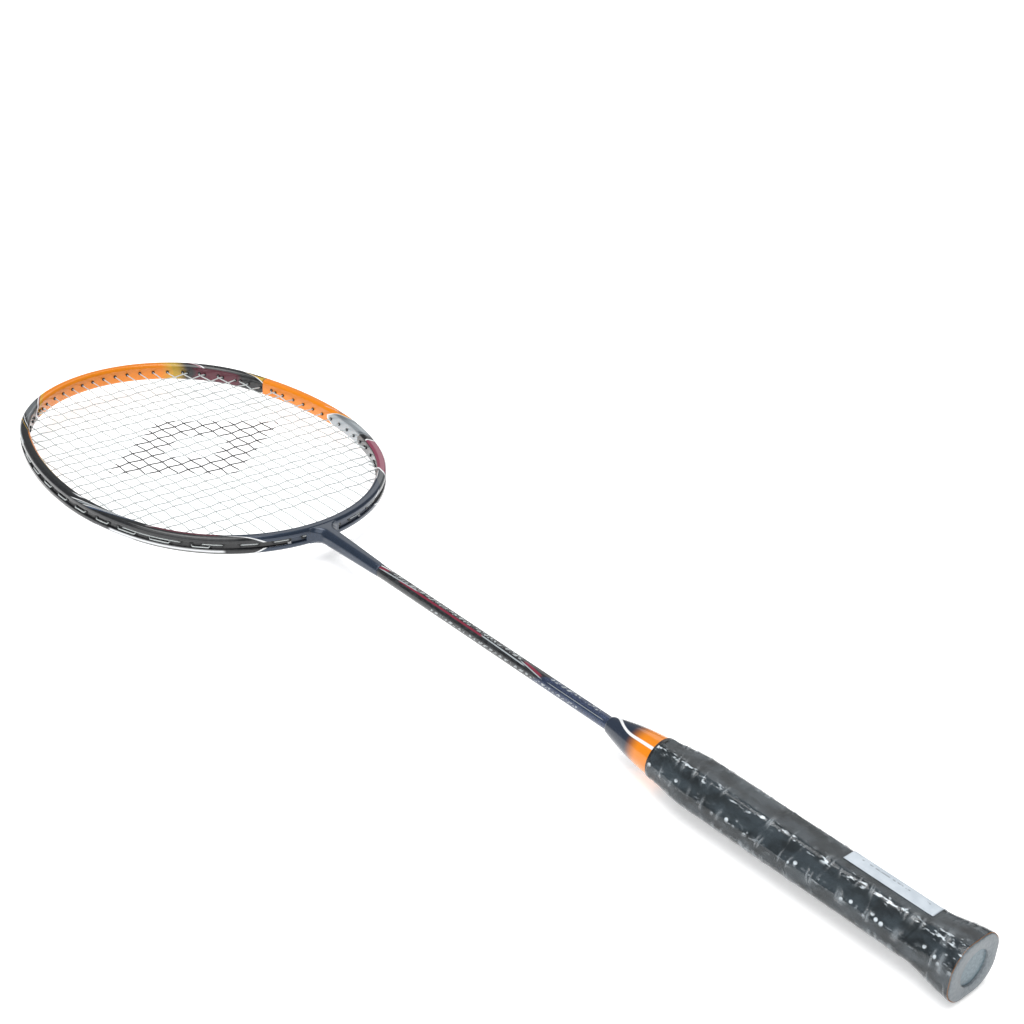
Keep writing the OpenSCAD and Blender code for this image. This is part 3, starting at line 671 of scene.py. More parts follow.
@dataclass(frozen=True)
class Plain:
    """A substance of one colour with a fine grain in its colour, gloss and surface."""

    name: str
    dark: str
    light: str
    grain_mm: float
    roughness: float
    depth_mm: float = 0.02
    metallic: float = 0.0
    coat: float = 0.0

    def build(self) -> bpy.types.Material:
        """Mottles the colour and the gloss by the same grain.

        Returns:
            The material.
        """
        g = Graph(bpy.data.materials.new(self.name))
        grain = g.grain(self.grain_mm, detail=4.0)
        colour = g.add(Kind.MIX, g.add(Kind.STEP, grain, 0.3, 0.7), linear(self.dark), linear(self.light))
        rough = g.add(Kind.RANGE, grain, 0.2, 0.8, self.roughness - 0.06, self.roughness + 0.06)
        g.set(Base_Color=colour, Roughness=rough, Metallic=self.metallic, Coat_Weight=self.coat)
        g.set(Normal=g.add(Kind.BUMP, Height=grain, Distance=self.depth_mm * MM))
        return g.owner


@dataclass(frozen=True)
class PrintedString:
    """Coated nylon multifilament: white, with a plain ring-shaped stencil in black ink."""

    centre_y: float
    outer: float = 41.0
    inner: float = 17.0
    squeeze: float = 0.68
    fibre_depth: float = 0.03

    def build(self) -> bpy.types.Material:
        """Inks the strings inside a lozenge-shaped ring and leaves the rest white.

        Returns:
            The material.
        """
        g = Graph(bpy.data.materials.new("coated_nylon_string"))
        place = g.add(Kind.PLACE)
        split = g.add(Kind.SPLIT, place).node
        x = g.add(Kind.ABSOLUTE, g.add(Kind.DIVIDE, split.outputs[0], MM))
        height = g.add(Kind.DIVIDE, split.outputs[1], MM)
        y = g.add(Kind.ABSOLUTE, g.add(Kind.SUBTRACT, height, self.centre_y))
        far = g.add(Kind.ADD, g.add(Kind.MULTIPLY, x, self.squeeze), y)
        ring = g.between(far, self.inner, self.outer, 0.4)
        worn = g.add(Kind.STEP, g.grain(1.5, detail=4.0), 0.30, 0.42)
        ink = g.add(Kind.MULTIPLY, ring, g.add(Kind.ADD, g.add(Kind.MULTIPLY, worn, 0.25), 0.72))
        fibre = g.grain(0.5, (1, 1, 1), detail=2.0)
        white = g.add(Kind.MIX, g.add(Kind.STEP, fibre, 0.3, 0.7), linear("#BCC2C2"), linear("#D2D7D7"))
        g.set(Base_Color=g.add(Kind.MIX, ink, white, linear("#1E1F22")), Roughness=0.35,
              Coat_Weight=0.4, Coat_Roughness=0.2)
        g.set(Normal=g.add(Kind.BUMP, Height=fibre, Distance=self.fibre_depth * MM))
        return g.owner


@dataclass(frozen=True)
class LabelPaper:
    """Coated paper with a few plain grey rules in place of print."""

    first_y: float
    last_y: float
    cockle_depth: float = 0.03

    def build(self) -> bpy.types.Material:
        """Draws short grey rules across the label, by its own two marks.

        Returns:
            The material.
        """
        g = Graph(bpy.data.materials.new("coated_label_paper"))
        along, across = g.add(Kind.ALONG), g.add(Kind.ACROSS)
        inside = g.between(along, self.first_y + 5, self.last_y - 6, 0.2)
        rows = g.add(Kind.FRACT, g.add(Kind.MULTIPLY, across, 5.0))
        rows = g.between(rows, 0.40, 0.55, 0.05)
        words = g.add(Kind.STEP, g.grain(1.6, (1, 1, 1), detail=0.0), 0.48, 0.52)
        some = g.between(across, 0.18, 0.82, 0.01)
        ink = g.add(Kind.MULTIPLY, g.add(Kind.MULTIPLY, inside, rows), g.add(Kind.MULTIPLY, words, some))
        mottle = g.add(Kind.STEP, g.grain(5.0), 0.3, 0.7)
        paper = g.add(Kind.MIX, mottle, linear("#BCC6CF"), linear("#CBD4DC"))
        printed = g.add(Kind.MIX, g.add(Kind.MULTIPLY, ink, 0.8), paper, linear("#6C737A"))
        g.set(Base_Color=printed, Roughness=0.42,
              Coat_Weight=0.3, Coat_Roughness=0.15)
        g.set(Normal=g.add(Kind.BUMP, Height=g.grain(3.0), Distance=self.cockle_depth * MM))
        return g.owner


# ---------- geometry of the head ----------
@dataclass(frozen=True)
class HeadOutline:
    """The oval of the head: on each half a wide end arc and two longer side arcs.

    A place is found from s, its distance round the rim from the tip, measured along
    the bends of the strings and negative on the left.
    """

    length: float
    half_w: float
    to_widest: float = 129.0
    head_l: float = 241.0
    bend_inset: float = 6.7
    join: float = math.atan2(5, 12)

    def end_r(self, b: float) -> float:
        """Radius of the end arc of a half that is b long."""
        return b - 5 / 4 * (b - self.half_w)

    def side_r(self, b: float) -> float:
        """Radius of the side arcs of a half that is b long."""
        return self.half_w + 3 * (b - self.half_w)

    @property
    def runs(self) -> np.ndarray:
        """Where the arcs of the right half end, along s.

        Returns:
            The sums of radius times angle of the four arcs, from the tip on.
        """
        tip, low = self.to_widest, self.head_l - self.to_widest
        parts = [(self.end_r(tip), math.pi / 2 - self.join), (self.side_r(tip), self.join),
                 (self.side_r(low), self.join), (self.end_r(low), math.pi / 2 - self.join)]
        return np.cumsum([(r - self.bend_inset) * a for r, a in parts])

    @property
    def half_length(self) -> float:
        """Distance round the rim from the tip to the throat."""
        return float(self.runs[-1])

    def pick(self, t: np.ndarray, values: list[np.ndarray]) -> np.ndarray:
        """The value of the arc on which each distance t from the tip falls."""
        return np.select([t < end for end in self.runs[:3]], values[:3], values[3])

    def place(self, s: np.ndarray) -> tuple[np.ndarray, np.ndarray, np.ndarray]:
        """Centres, radii and angles of the arcs at s.

        On each arc the angle falls evenly from its start by s over the bend's radius.

        Args:
            s: distances round the rim from the tip, negative on the left.

        Returns:
            Centres of shape (..., 2), radii and angles.
        """
        tip, low = self.to_widest, self.head_l - self.to_widest
        widest = self.length - tip
        t = np.abs(s)
        ends = self.runs
        radii = [self.end_r(tip), self.side_r(tip), self.side_r(low), self.end_r(low)]
        start = [math.pi / 2, self.join, 0.0, -self.join]
        cx = [0.0, self.half_w - radii[1], self.half_w - radii[2], 0.0]
        cy = [widest + tip - radii[0], widest, widest, widest - low + radii[3]]
        begin = [0.0, *ends[:3]]
        angle = self.pick(t, [a - (t - b) / (r - self.bend_inset) for a, b, r in zip(start, begin, radii)])
        left = np.asarray(s) < 0
        x = np.where(left, -1.0, 1.0) * self.pick(t, [np.full_like(t, c) for c in cx])
        y = self.pick(t, [np.full_like(t, c) for c in cy])
        radius = self.pick(t, [np.full_like(t, r) for r in radii])
        return np.stack([x, y], -1), radius, np.where(left, np.pi - angle, angle)

    def point(self, s: np.ndarray, inset: np.ndarray, z: np.ndarray) -> np.ndarray:
        """Points on the rim: centre + (radius - inset) (cos angle, sin angle), at height z.

        Args:
            s: distances round the rim from the tip.
            inset: distances inwards from the outer wall.
            z: heights over the string plane.

        Returns:
            An array of shape (..., 3), in mm.
        """
        centre, radius, angle = self.place(s)
        reach = radius - inset
        flat = centre[..., 0] + reach * np.cos(angle), centre[..., 1] + reach * np.sin(angle)
        return np.stack(np.broadcast_arrays(*flat, z), -1)


@dataclass
class Head:
    """The rim with its string groove, and the taper that holds the shaft."""

    outline: HeadOutline
    rim_w: float = 5.8
    rim_d: float = 10.3
    chamfer: float = 1.25
    groove_depth: float = 1.5
    groove_w: float = 3.4
    steps: int = 1370
    throat_w: float = 9.4
    throat_d: float = 9.6
    fillet: float = 7.0
    taper_start: float = 388.0
    thin_r: float = 3.85
    foot_l: float = 5.0
    shaft_r: float = 3.5

    def rim(self) -> bpy.types.Object:
        """The rim's section carried round the whole outline.

        The section is an octagon with a groove in its outer side. Point (s, p) lies
        at the section's inset and height p on the outline's normal at s.

        Returns:
            The rim.
        """
        half, gd, gw, c, w = self.rim_d / 2, self.groove_depth, self.groove_w / 2, self.chamfer, self.rim_w
        upper = [(gd, gw), (0.0, gw), (0.0, half - c), (c, half), (w - c, half), (w, half - c)]
        corners = np.array(upper + [(inset, -z) for inset, z in upper[::-1]])
        section = soften(corners, 0.55, 4, 2)
        inset, z = section[:, 0], section[:, 1]
        turn = np.abs(np.arctan2(z / half, (w / 2 - inset) / (w / 2))) / np.pi
        turn = np.where((np.abs(z) < gw + 0.01) & (inset < gd + 0.01), -0.2, turn)
        full = self.outline.half_length
        # the last ring stops just short of the first, so that no paint is drawn out between them
        s = np.linspace(-full, full - 0.002, self.steps)[:, None]
        points = self.outline.point(np.broadcast_to(s, (self.steps, len(inset))), inset, z)
        marks = {"along": s, "around": turn[None, :], "back": (z < 0)[None, :].astype(float)}
        return surface("head_rim", points, ring_rows=True, marks=marks)

    def taper(self) -> bpy.types.Object:
        """An eight-sided taper that grows out of the shaft and into the rim along a fillet.

        Above the fillet's start its half width is x - r cos a and its height is
        y + r sin a, for a from 0 to the angle at which the fillet meets the rim.

        Returns:
            The taper.
        """
        low = self.outline.head_l - self.outline.to_widest
        re = self.outline.end_r(low)
        cy = self.outline.length - self.outline.to_widest - low + re
        flank, r = self.throat_w / 2, self.fillet
        fx = flank + r
        fy = cy - math.sqrt((re + r) ** 2 - fx ** 2)
        meet = math.acos(fx / (re + r))
        a = np.linspace(0.0, meet, 14)
        up = np.linspace(0.0, 1.0, 30)[:-1]
        y = np.concatenate([self.taper_start + up * (fy - self.taper_start), fy + r * np.sin(a),
                            [fy + r * math.sin(meet) + self.rim_w / 4]])
        wide = np.concatenate([self.thin_r + up * (flank - self.thin_r), fx - r * np.cos(a),
                               [fx - r * math.cos(meet)]])
        grow = np.clip((y - self.taper_start) / (fy - self.taper_start), 0, 1)
        deep = self.thin_r + grow * (self.throat_d / 2 - self.thin_r)
        round_leg = self.thin_r * (2 - math.sqrt(2))
        bevel = round_leg + grow * (self.throat_w / 4 - round_leg)
        loops = soften(octagons(wide, deep, bevel), 0.9, 5, 2)
        points = np.stack([loops[..., 0], np.broadcast_to(y[:, None], loops.shape[:2]), loops[..., 1]], -1)
        t = np.linspace(0.0, 1.0, 7)[:-1, None, None]
        size = (self.shaft_r + (self.thin_r - self.shaft_r) * smooth(t)) / self.thin_r
        foot = points[:1] * np.concatenate([size, np.ones_like(size), size], axis=-1)
        foot = foot - np.concatenate([0 * t, self.foot_l * (1 - t), 0 * t], axis=-1)
        points = np.concatenate([foot, points])
        full = self.outline.half_length
        return surface("throat_taper", points, caps=True,
                       marks={"along": np.full((1, 1), full), "around": np.full((1, 1), 0.5),
                              "back": np.zeros((1, 1))})


def octagons(wide: np.ndarray, deep: np.ndarray, bevel: np.ndarray) -> np.ndarray:
    """Corners (x, z) of eight-sided sections with the given half sizes and bevels.

    They start at the top face's right end and go round by way of +X.

    Args:
        wide: half widths, along X.
        deep: half depths, along Z.
        bevel: how much the bevels take off each corner.

    Returns:
        An array of shape (sections, 8, 2).
    """
    x = [wide - bevel, wide, wide, wide - bevel, bevel - wide, -wide, -wide, bevel - wide]
    z = [deep, deep - bevel, bevel - deep, -deep, -deep, bevel - deep, deep - bevel, deep]
    return np.stack([np.stack(x, -1), np.stack(z, -1)], -1)


# ---------- strings ----------
@dataclass
class StringBed:
    """The mains and the crosses, woven through each other and looped in the groove."""

    outline: HeadOutline
    radius: float = 0.35
    main_pitch: float = 7.725
    cross_pitch: float = 8.65
    first_cross: float = 25.5
    mains: int = 22
    crosses: int = 22
    mouth: float = 6.7
    loop_inset: float = 0.65
    loop_lift: float = 0.95
    lift: float = 0.31
    sides: int = 6
    step: float = 1.4
    grommet_gap: float = 3.0
    join_gap: float = 1.4

    def main_x(self, k: np.ndarray) -> np.ndarray:
        """Place of main string k across the head."""
        return (k - (self.mains - 1) / 2) * self.main_pitch

    def cross_y(self, j: np.ndarray) -> np.ndarray:
        """Place of cross string j along the head."""
        return self.outline.length - self.first_cross - j * self.cross_pitch

    def find(self, wanted: np.ndarray, axis: int, low: float, high: float) -> np.ndarray:
        """Distances s at which the bend's x or y is as wanted.

        Args:
            wanted: the places wanted.
            axis: 0 for x, 1 for y.
            low: where the search starts, along s.
            high: where it ends.

        Returns:
            One distance for each place.
        """
        s = np.linspace(low, high, 20001)
        value = self.outline.point(s, np.full_like(s, self.mouth), np.zeros_like(s))[:, axis]
        order = np.argsort(value)
        return np.interp(wanted, value[order], s[order])

    def off_joins(self, s: np.ndarray) -> np.ndarray:
        """Moves holes off the places where two arcs of the rim meet.

        Args:
            s: distances of the holes.

        Returns:
            The distances, at least join_gap away from a join.
        """
        for join in (self.outline.runs[0], self.outline.runs[2]):
            near = np.abs(s - join) < self.join_gap
            s = np.where(near, join + np.where(s < join, -1, 1) * self.join_gap, s)
        return s

    def places(self) -> tuple[np.ndarray, np.ndarray, np.ndarray]:
        """Places of the holes on the right half, kept apart by grommet_gap.

        Returns:
            Distances s of the mains' holes at the tip and at the throat, and of the crosses' holes.
        """
        widest = self.outline.runs[1]
        full = self.outline.half_length
        x = self.main_x(np.arange(self.mains // 2, self.mains))
        tip = self.off_joins(self.find(x, 0, 0.0, widest))
        throat = self.off_joins(self.find(x, 0, widest, full))
        cross = self.off_joins(self.find(self.cross_y(np.arange(self.crosses)), 1, 0.0, full))
        near = np.concatenate([tip, throat])
        gap = cross[:, None] - near[None, :]
        nearest = near[np.argmin(np.abs(gap), axis=1)]
        tight = np.min(np.abs(gap), axis=1) < self.grommet_gap
        cross = np.where(tight, nearest + np.where(cross < nearest, -1, 1) * self.grommet_gap, cross)
        return tip, throat, cross

    def tie(self, start: float, way: int, used: np.ndarray) -> float:
        """The first free place round the rim where a string can be tied.

        Args:
            start: distance of the string's last hole.
            way: 1 or -1, the way to look.
            used: distances that are taken.

        Returns:
            The place's distance s, 6 to 24 mm on.
        """
        tries = start + way * np.arange(6.0, 24.5, 0.5)
        free = np.min(np.abs(tries[:, None] - used[None, :]), axis=1) > self.grommet_gap + 0.5
        return float(tries[np.argmax(free)])

    def hole(self, holes: np.ndarray, k: int) -> float:
        """The place of main string k, from the holes of the right half.

        Args:
            holes: distances s of the holes, from the middle to the right.
            k: number of the string, from the left.

        Returns:
            Its distance s, negative on the left.
        """
        half = self.mains // 2
        if k >= half:
            return float(holes[k - half])
        return -float(holes[half - 1 - k])

    def run(self, s0: float, s1: float, sign: float, weave: str) -> np.ndarray:
        """One straight run of string from one mouth to the other, waving over and under.

        Its height is sign · lift · cos(pi n), where n counts the strings it has passed,
        and it fades to the height of the grommets outside the first and last of them.

        Args:
            s0: distance of the hole that it starts from.
            s1: distance of the hole that it ends at.
            sign: whether it starts over or under.
            weave: "main" or "cross".

        Returns:
            The points of its middle line.
        """
        ends = self.outline.point(np.array([s0, s1]), np.full(2, self.mouth), np.zeros(2))
        n = max(8, int(np.linalg.norm(ends[1] - ends[0]) / self.step))
        t = np.linspace(0.0, 1.0, n)[:, None]
        line = ends[0] * (1 - t) + ends[1] * t
        if weave == "main":
            count = (self.outline.length - self.first_cross - line[:, 1]) / self.cross_pitch
            last, rest = self.crosses - 1, self.lift
        else:
            count = line[:, 0] / self.main_pitch + (self.mains - 1) / 2
            last, rest = self.mains - 1, -self.lift
        inside = smooth((count + 0.9) / 0.8) * smooth((last + 0.9 - count) / 0.8)
        line[:, 2] = inside * sign * self.lift * np.cos(np.pi * count) + (1 - inside) * rest
        return line

    def loop(self, s0: float, s1: float, height: float, rest: float) -> np.ndarray:
        """Out through one grommet, along the groove at loop_inset and back in through the next.

        Args:
            s0: distance of the first grommet.
            s1: distance of the next.
            height: height of the string in the groove.
            rest: height of the string in a grommet.

        Returns:
            The points of its middle line.
        """
        t = np.linspace(0.0, 1.0, 16)
        s = np.concatenate([[s0, s0], s0 + (s1 - s0) * t[1:-1], [s1, s1]])
        inset = np.concatenate([[self.mouth - 0.8, self.loop_inset + 0.8], np.full(14, self.loop_inset),
                                [self.loop_inset + 0.8, self.mouth - 0.8]])
        z = np.concatenate([[rest, rest], np.full(14, height), [rest, rest]])
        return self.outline.point(s, inset, z)

    def tail(self, s: float, rest: float) -> np.ndarray:
        """The last stretch, in through the grommet where the string is tied, at height rest."""
        inset = np.array([self.loop_inset + 0.8, 3.0, 6.3])
        return self.outline.point(np.full(3, s), inset, np.full(3, rest))

    def build(self) -> tuple[bpy.types.Object, bpy.types.Object]:
        """Both strings, each as one tube along its whole route.

        Returns:
            The main string and the cross string.
        """
        tip, throat, cross = self.places()
        used = np.concatenate([tip, throat, cross, self.outline.runs[[0, 2]]])
        main_tie = self.tie(throat[-1], 1, used)
        parts = [self.tail(-main_tie, self.lift)[::-1],
                 self.loop(-main_tie, self.hole(throat, 0), self.loop_lift, self.lift)[2:]]
        for k in range(self.mains):
            ends = (throat, tip) if k % 2 == 0 else (tip, throat)
            s0, s1 = self.hole(ends[0], k), self.hole(ends[1], k)
            parts.append(self.run(s0, s1, (-1.0) ** k, "main"))
            if k < self.mains - 1:
                parts.append(self.loop(s1, self.hole(ends[1], k + 1), self.loop_lift, self.lift))
        parts += [self.loop(self.hole(throat, self.mains - 1), main_tie, self.loop_lift, self.lift)[:-2],
                  self.tail(main_tie, self.lift)]
        main = np.concatenate(parts)
        ties = self.tie(cross[0], -1, used), self.tie(cross[-1], 1, used)
        parts = [self.tail(-ties[0], -self.lift)[::-1],
                 self.loop(-ties[0], -cross[0], -self.loop_lift, -self.lift)[2:]]
        for j in range(self.crosses):
            side = 1.0 if j % 2 == 0 else -1.0
            parts.append(self.run(-side * cross[j], side * cross[j], -(-1.0) ** j, "cross"))
            if j < self.crosses - 1:
                parts.append(self.loop(side * cross[j], side * cross[j + 1], -self.loop_lift, -self.lift))
        parts += [self.loop(-cross[-1], -ties[1], -self.loop_lift, -self.lift)[:-2],
                  self.tail(-ties[1], -self.lift)]
        crosswise = np.concatenate(parts)
        return (surface("main_string_woven", tube(main, self.radius, self.sides), caps=True),
                surface("cross_string_woven", tube(crosswise, self.radius, self.sides), caps=True))


# ---------- shaft and cone ----------
def turned(name: str, y: np.ndarray, radius: np.ndarray, sides: int = 96) -> bpy.types.Object:
    """A shape turned about the Y axis: (r sin a, y, r cos a), with a as the mark turn.

    Args:
        name: name of the piece.
        y: heights of its rings.
        radius: their radii.
        sides: points round each ring.

    Returns:
        The piece, closed at both ends.
    """
    a = np.linspace(-np.pi, np.pi, sides, endpoint=False)[None, :]
    y, radius = y[:, None], radius[:, None]
    points = np.stack(np.broadcast_arrays(radius * np.sin(a), y, radius * np.cos(a)), -1)
    return surface(name, points, caps=True, marks={"along": y, "turn": np.degrees(a)})


@dataclass
class Shaft:
    """The visible stretch of the carbon tube, and the cone above the grip."""

    low: float = 196.0
    high: float = 396.0
    radius: float = 3.5
    grip_top: float = 174.0
    cone_l: float = 35.0
    band_w: float = 1.8
    cone_r: float = 10.1
    cone_top_r: float = 4.3
    bulge: float = 0.9
    lip: float = 0.35

    def tube(self) -> bpy.types.Object:
        """The tube (r sin a, y, r cos a), whose ends run a little into the cone and the taper."""
        y = np.linspace(self.low, self.high, 120)
        return turned("shaft_tube", y, np.full_like(y, self.radius), 64)

    def cone(self) -> bpy.types.Object:
        """The cone: a straight taper swollen by a half sine, with a rounded lip on top.

        Its radius at a share t of its length is (1 - t) base + t top + bulge sin(pi t).

        Returns:
            The cone.
        """
        t = np.linspace(0.0, 1.0, 60)
        y = self.grip_top + self.band_w + t * (self.cone_l - self.band_w)
        r = self.cone_r + (self.cone_top_r - self.cone_r) * t + self.bulge * np.sin(np.pi * t)
        a = np.linspace(0.0, np.pi / 2, 6)[1:]
        y = np.concatenate([[self.grip_top, y[0] - 0.2], y[:-1], y[-1] - self.lip * (1 - np.sin(a))])
        r = np.concatenate([[self.cone_r, self.cone_r], r[:-1], r[-1] - self.lip * (1 - np.cos(a))])
        return turned("cone_shell", y, r)


# ---------- handle ----------
@dataclass
class Handle:
    """The wrapped grip: an octagon that flares at the butt and narrows at its top."""

    grip_l: float = 174.0
    size: tuple[float, float, float] = (28.8, 23.0, 7.6)
    butt: tuple[float, float, float] = (32.6, 29.6, 7.5)
    top: tuple[float, float, float] = (23.4, 20.8, 6.9)
    flare_l: float = 26.0
    taper_l: float = 24.0
    rounding: float = 2.2
    butt_rounding: float = 4.6
    bend: int = 9
    side: int = 9
    rows: int = 420
    film_rows: int = 680
    label_y: tuple[float, float] = (22.5, 69.3)
    label_under: float = 0.22
    label_over: float = 0.36
    turn_pitch: float = 21.0
    recess_r: float = 8.9
    recess_deep: float = 1.6
    plate_l: float = 3.0
    plate_edge: float = 0.5
    edge_r: float = 0.2

    def section(self, y: np.ndarray, part: int) -> np.ndarray:
        """Width, depth or bevel, blended smoothly into the butt and the top.

        Args:
            y: heights.
            part: 0 for the width, 1 for the depth and 2 for the bevel.

        Returns:
            One measure for each height.
        """
        low = smooth(1 - y / self.flare_l)
        high = smooth((y - self.grip_l + self.taper_l) / self.taper_l)
        middle = self.size[part] + (self.butt[part] - self.size[part]) * low
        return middle + (self.top[part] - middle) * high

    def sheet(self, y: np.ndarray, inset: float) -> tuple[np.ndarray, np.ndarray]:
        """Points of the grip's surface at an inset, and each column's place round it.

        Whole numbers of that place are the corners, from the top face's right end by
        way of +X.

        Args:
            y: heights of the rows.
            inset: how far inside the grip's surface they lie.

        Returns:
            Points of shape (rows, columns, 3), and the places of the columns.
        """
        shrink = inset * (2 - math.sqrt(2))
        corners = octagons(self.section(y, 0) / 2 - inset, self.section(y, 1) / 2 - inset,
                           self.section(y, 2) - shrink)
        reach = self.rounding + (self.butt_rounding - self.rounding) * smooth(1 - y / self.flare_l)
        loops = soften(corners, reach[:, None, None], self.bend, self.side)
        points = np.stack([loops[..., 0], np.broadcast_to(y[:, None], loops.shape[:2]), loops[..., 1]], -1)
        per = self.bend + self.side
        step = np.concatenate([np.linspace(-0.12, 0.12, self.bend),
                               0.12 + 0.76 * np.arange(1, self.side + 1) / (self.side + 1)])
        return points, (np.arange(8)[:, None] + step[None, :]).reshape(8 * per)

    def lifted(self, points: np.ndarray, height: np.ndarray) -> np.ndarray:
        """Points moved away from the handle's axis by a height."""
        return points + unit(points * [1.0, 0.0, 1.0]) * height[..., None]

    def wrap(self) -> bpy.types.Object:
        """The strip, whose turns overlap in a low step that winds up the handle.

        The height is a saw tooth of (y / pitch + place / 8), which rises slowly
        over a turn and drops at its edge.

        Returns:
            The strip.
        """
        y = np.linspace(0.9, self.grip_l, self.rows)
        points, place = self.sheet(y, 0.35)
        phase = (y[:, None] / self.turn_pitch + place[None, :] / 8) % 1.0
        step = smooth((phase - 0.86) / 0.10) * (1 - smooth((phase - 0.965) / 0.03))
        points = self.lifted(points, 0.28 * step)
        seam = np.exp(-((phase - 0.985) / 0.02) ** 2)
        # the strip's lower edge is tucked in behind the butt's end plate
        tucked = points[:1] * [0.72, 1.0, 0.72] + [0.0, 1.7, 0.0]
        points = np.concatenate([tucked, points])
        seam = np.concatenate([seam[:1], seam])
        return surface("grip_wrap_strip", points, caps=True, marks={"seam": seam})

    def film(self) -> bpy.types.Object:
        """The clear film, pulled tight over the flats and creased near the corners.

        The height is a sum of ridges 1 - |sin| along slanting waves, raised where a
        slower wave and the nearness of a corner let it.

        Returns:
            The film.
        """
        y = np.linspace(0.5, self.grip_l + 0.4, self.film_rows)
        points, place = self.sheet(y, 0.0)
        yy, pp = np.broadcast_arrays(y[:, None], place[None, :])
        corner = np.exp(-((pp - np.round(pp)) / 0.22) ** 2)
        rng = np.random.default_rng(7)
        ridge = np.zeros(yy.shape)
        slow = np.zeros(yy.shape)
        for _ in range(9):
            slope, wave, shift = rng.uniform(-3.5, 3.5), rng.uniform(3.0, 11.0), rng.uniform(0, 6.28, 3)
            bend = 0.9 * np.sin(yy / rng.uniform(14, 30) + shift[1])
            line = np.abs(np.sin((yy + slope * pp * 2) / wave + bend + shift[0]))
            gate = np.sin(yy / rng.uniform(9, 22) + pp * rng.uniform(0.4, 1.6) + shift[2])
            gate = smooth((gate - 0.45) / 0.4)
            ridge = np.maximum(ridge, gate * np.exp(-(line / 0.10) ** 2))
            slow += np.sin(yy / rng.uniform(5, 12) + pp * rng.uniform(1, 3) + shift[1]) / 9
        label = smooth((yy - self.label_y[0] + 3) / 2) * smooth((self.label_y[1] + 3 - yy) / 2)
        beside = smooth((pp + 1.2) / 0.2) * smooth((1.4 - pp) / 0.2) + smooth((pp - 7.1) / 0.2)
        calm = 1 - np.clip(label * beside, 0, 1)
        height = 0.10 + calm * (0.25 * ridge * (0.2 + 0.8 * corner) + 0.16 * slow)
        tuck = smooth((self.grip_l - yy) / 1.5) * smooth(yy / 1.2)
        points = self.lifted(points, height * tuck)
        # painted highlights: a white lace along the upper edge of the bevel, weaker on every corner, and
        # white specks along two other corners, kept off the label; the creases' paleness is partly a painted
        # highlight too
        highlight_lace = np.exp(-((pp - 6.96) / 0.13) ** 2) + 0.4 * np.exp(-((pp - np.round(pp)) / 0.10) ** 2)
        glint_specks = np.exp(-((pp - 6.06) / 0.12) ** 2) + np.exp(-((pp - 2.06) / 0.12) ** 2)
        marks = {"crease": calm * ridge * corner, "highlight_lace": calm * np.clip(highlight_lace, 0, 1),
                 "glint_specks": calm * glint_specks}
        return surface("grip_film_skin", points, marks=marks)

    def label(self) -> bpy.types.Object:
        """The label, a sheet laid on the top face and the bevel beside it.

        Its two sides are the grip's surface lifted by label_under and label_over.

        Returns:
            The label.
        """
        y = np.linspace(*self.label_y, 60)
        points, place = self.sheet(y, 0.0)
        keep = np.argsort((place + 2) % 8)
        wrapped_place = ((place + 2) % 8)[keep] - 2
        inside = (wrapped_place > -0.62) & (wrapped_place < 0.92)
        points = points[:, keep[inside]]
        place = wrapped_place[inside]
        low = self.lifted(points, np.full(points.shape[:2], self.label_under))
        high = self.lifted(points, np.full(points.shape[:2], self.label_over))
        both = np.concatenate([high, low[:, ::-1]], axis=1)
        across = (place - place[0]) / (place[-1] - place[0])
        marks = {"along": y[:, None], "across": np.concatenate([across, across[::-1]])[None, :]}
        return surface("label_sheet", both, caps=True, marks=marks)

    def butt_plate(self) -> bpy.types.Object:
        """The butt's end plate, with a rounded edge and a round recess in its middle.

        Its outline is the grip's section. Each ring is the outline drawn in by an
        inset, or a circle whose points lie in the outline's directions.

        Returns:
            The plate.
        """
        r, deep, edge = self.recess_r, self.recess_deep, self.plate_edge
        outline = self.sheet(np.array([0.4]), 0.55)[0][0][:, [0, 2]]
        way = unit(outline)
        circles = [np.column_stack([way[:, 0] * k, np.full(len(way), y), way[:, 1] * k])
                   for k, y in ((r, deep), (r, 0.15), (r + 0.15, 0.0))]
        turn = np.linspace(0.0, np.pi / 2, 5)
        rims = [np.column_stack([p[:, 0], np.full(len(p), edge * (1 - math.cos(a))), p[:, 1]])
                for a in turn for p in [outline - way * edge * (1 - math.sin(a))]]
        back = rims[-1] + [0.0, self.plate_l - edge, 0.0]
        return surface("butt_end_plate", np.stack([*circles, *rims, back]), caps=True)

    def edge_line(self) -> bpy.types.Object:
        """The edge of the tape that shows as a thin line round the butt.

        It is a ring of circles, outline + edge_r (cos a out + sin a up).

        Returns:
            The line.
        """
        points, _ = self.sheet(np.array([0.75]), 0.30)
        ring = points[0]
        closed = np.concatenate([ring[-2:], ring, ring[:2]])
        along = unit(np.gradient(closed, axis=0))[2:-2]
        up = np.broadcast_to([0.0, 1.0, 0.0], along.shape)
        out = np.cross(along, up)
        a = (2 * np.pi * np.arange(8) / 8)[None, :, None]
        rings = ring[:, None] + self.edge_r * (np.cos(a) * out[:, None] + np.sin(a) * up[:, None])
        return surface("tape_edge_line", rings, ring_rows=True)


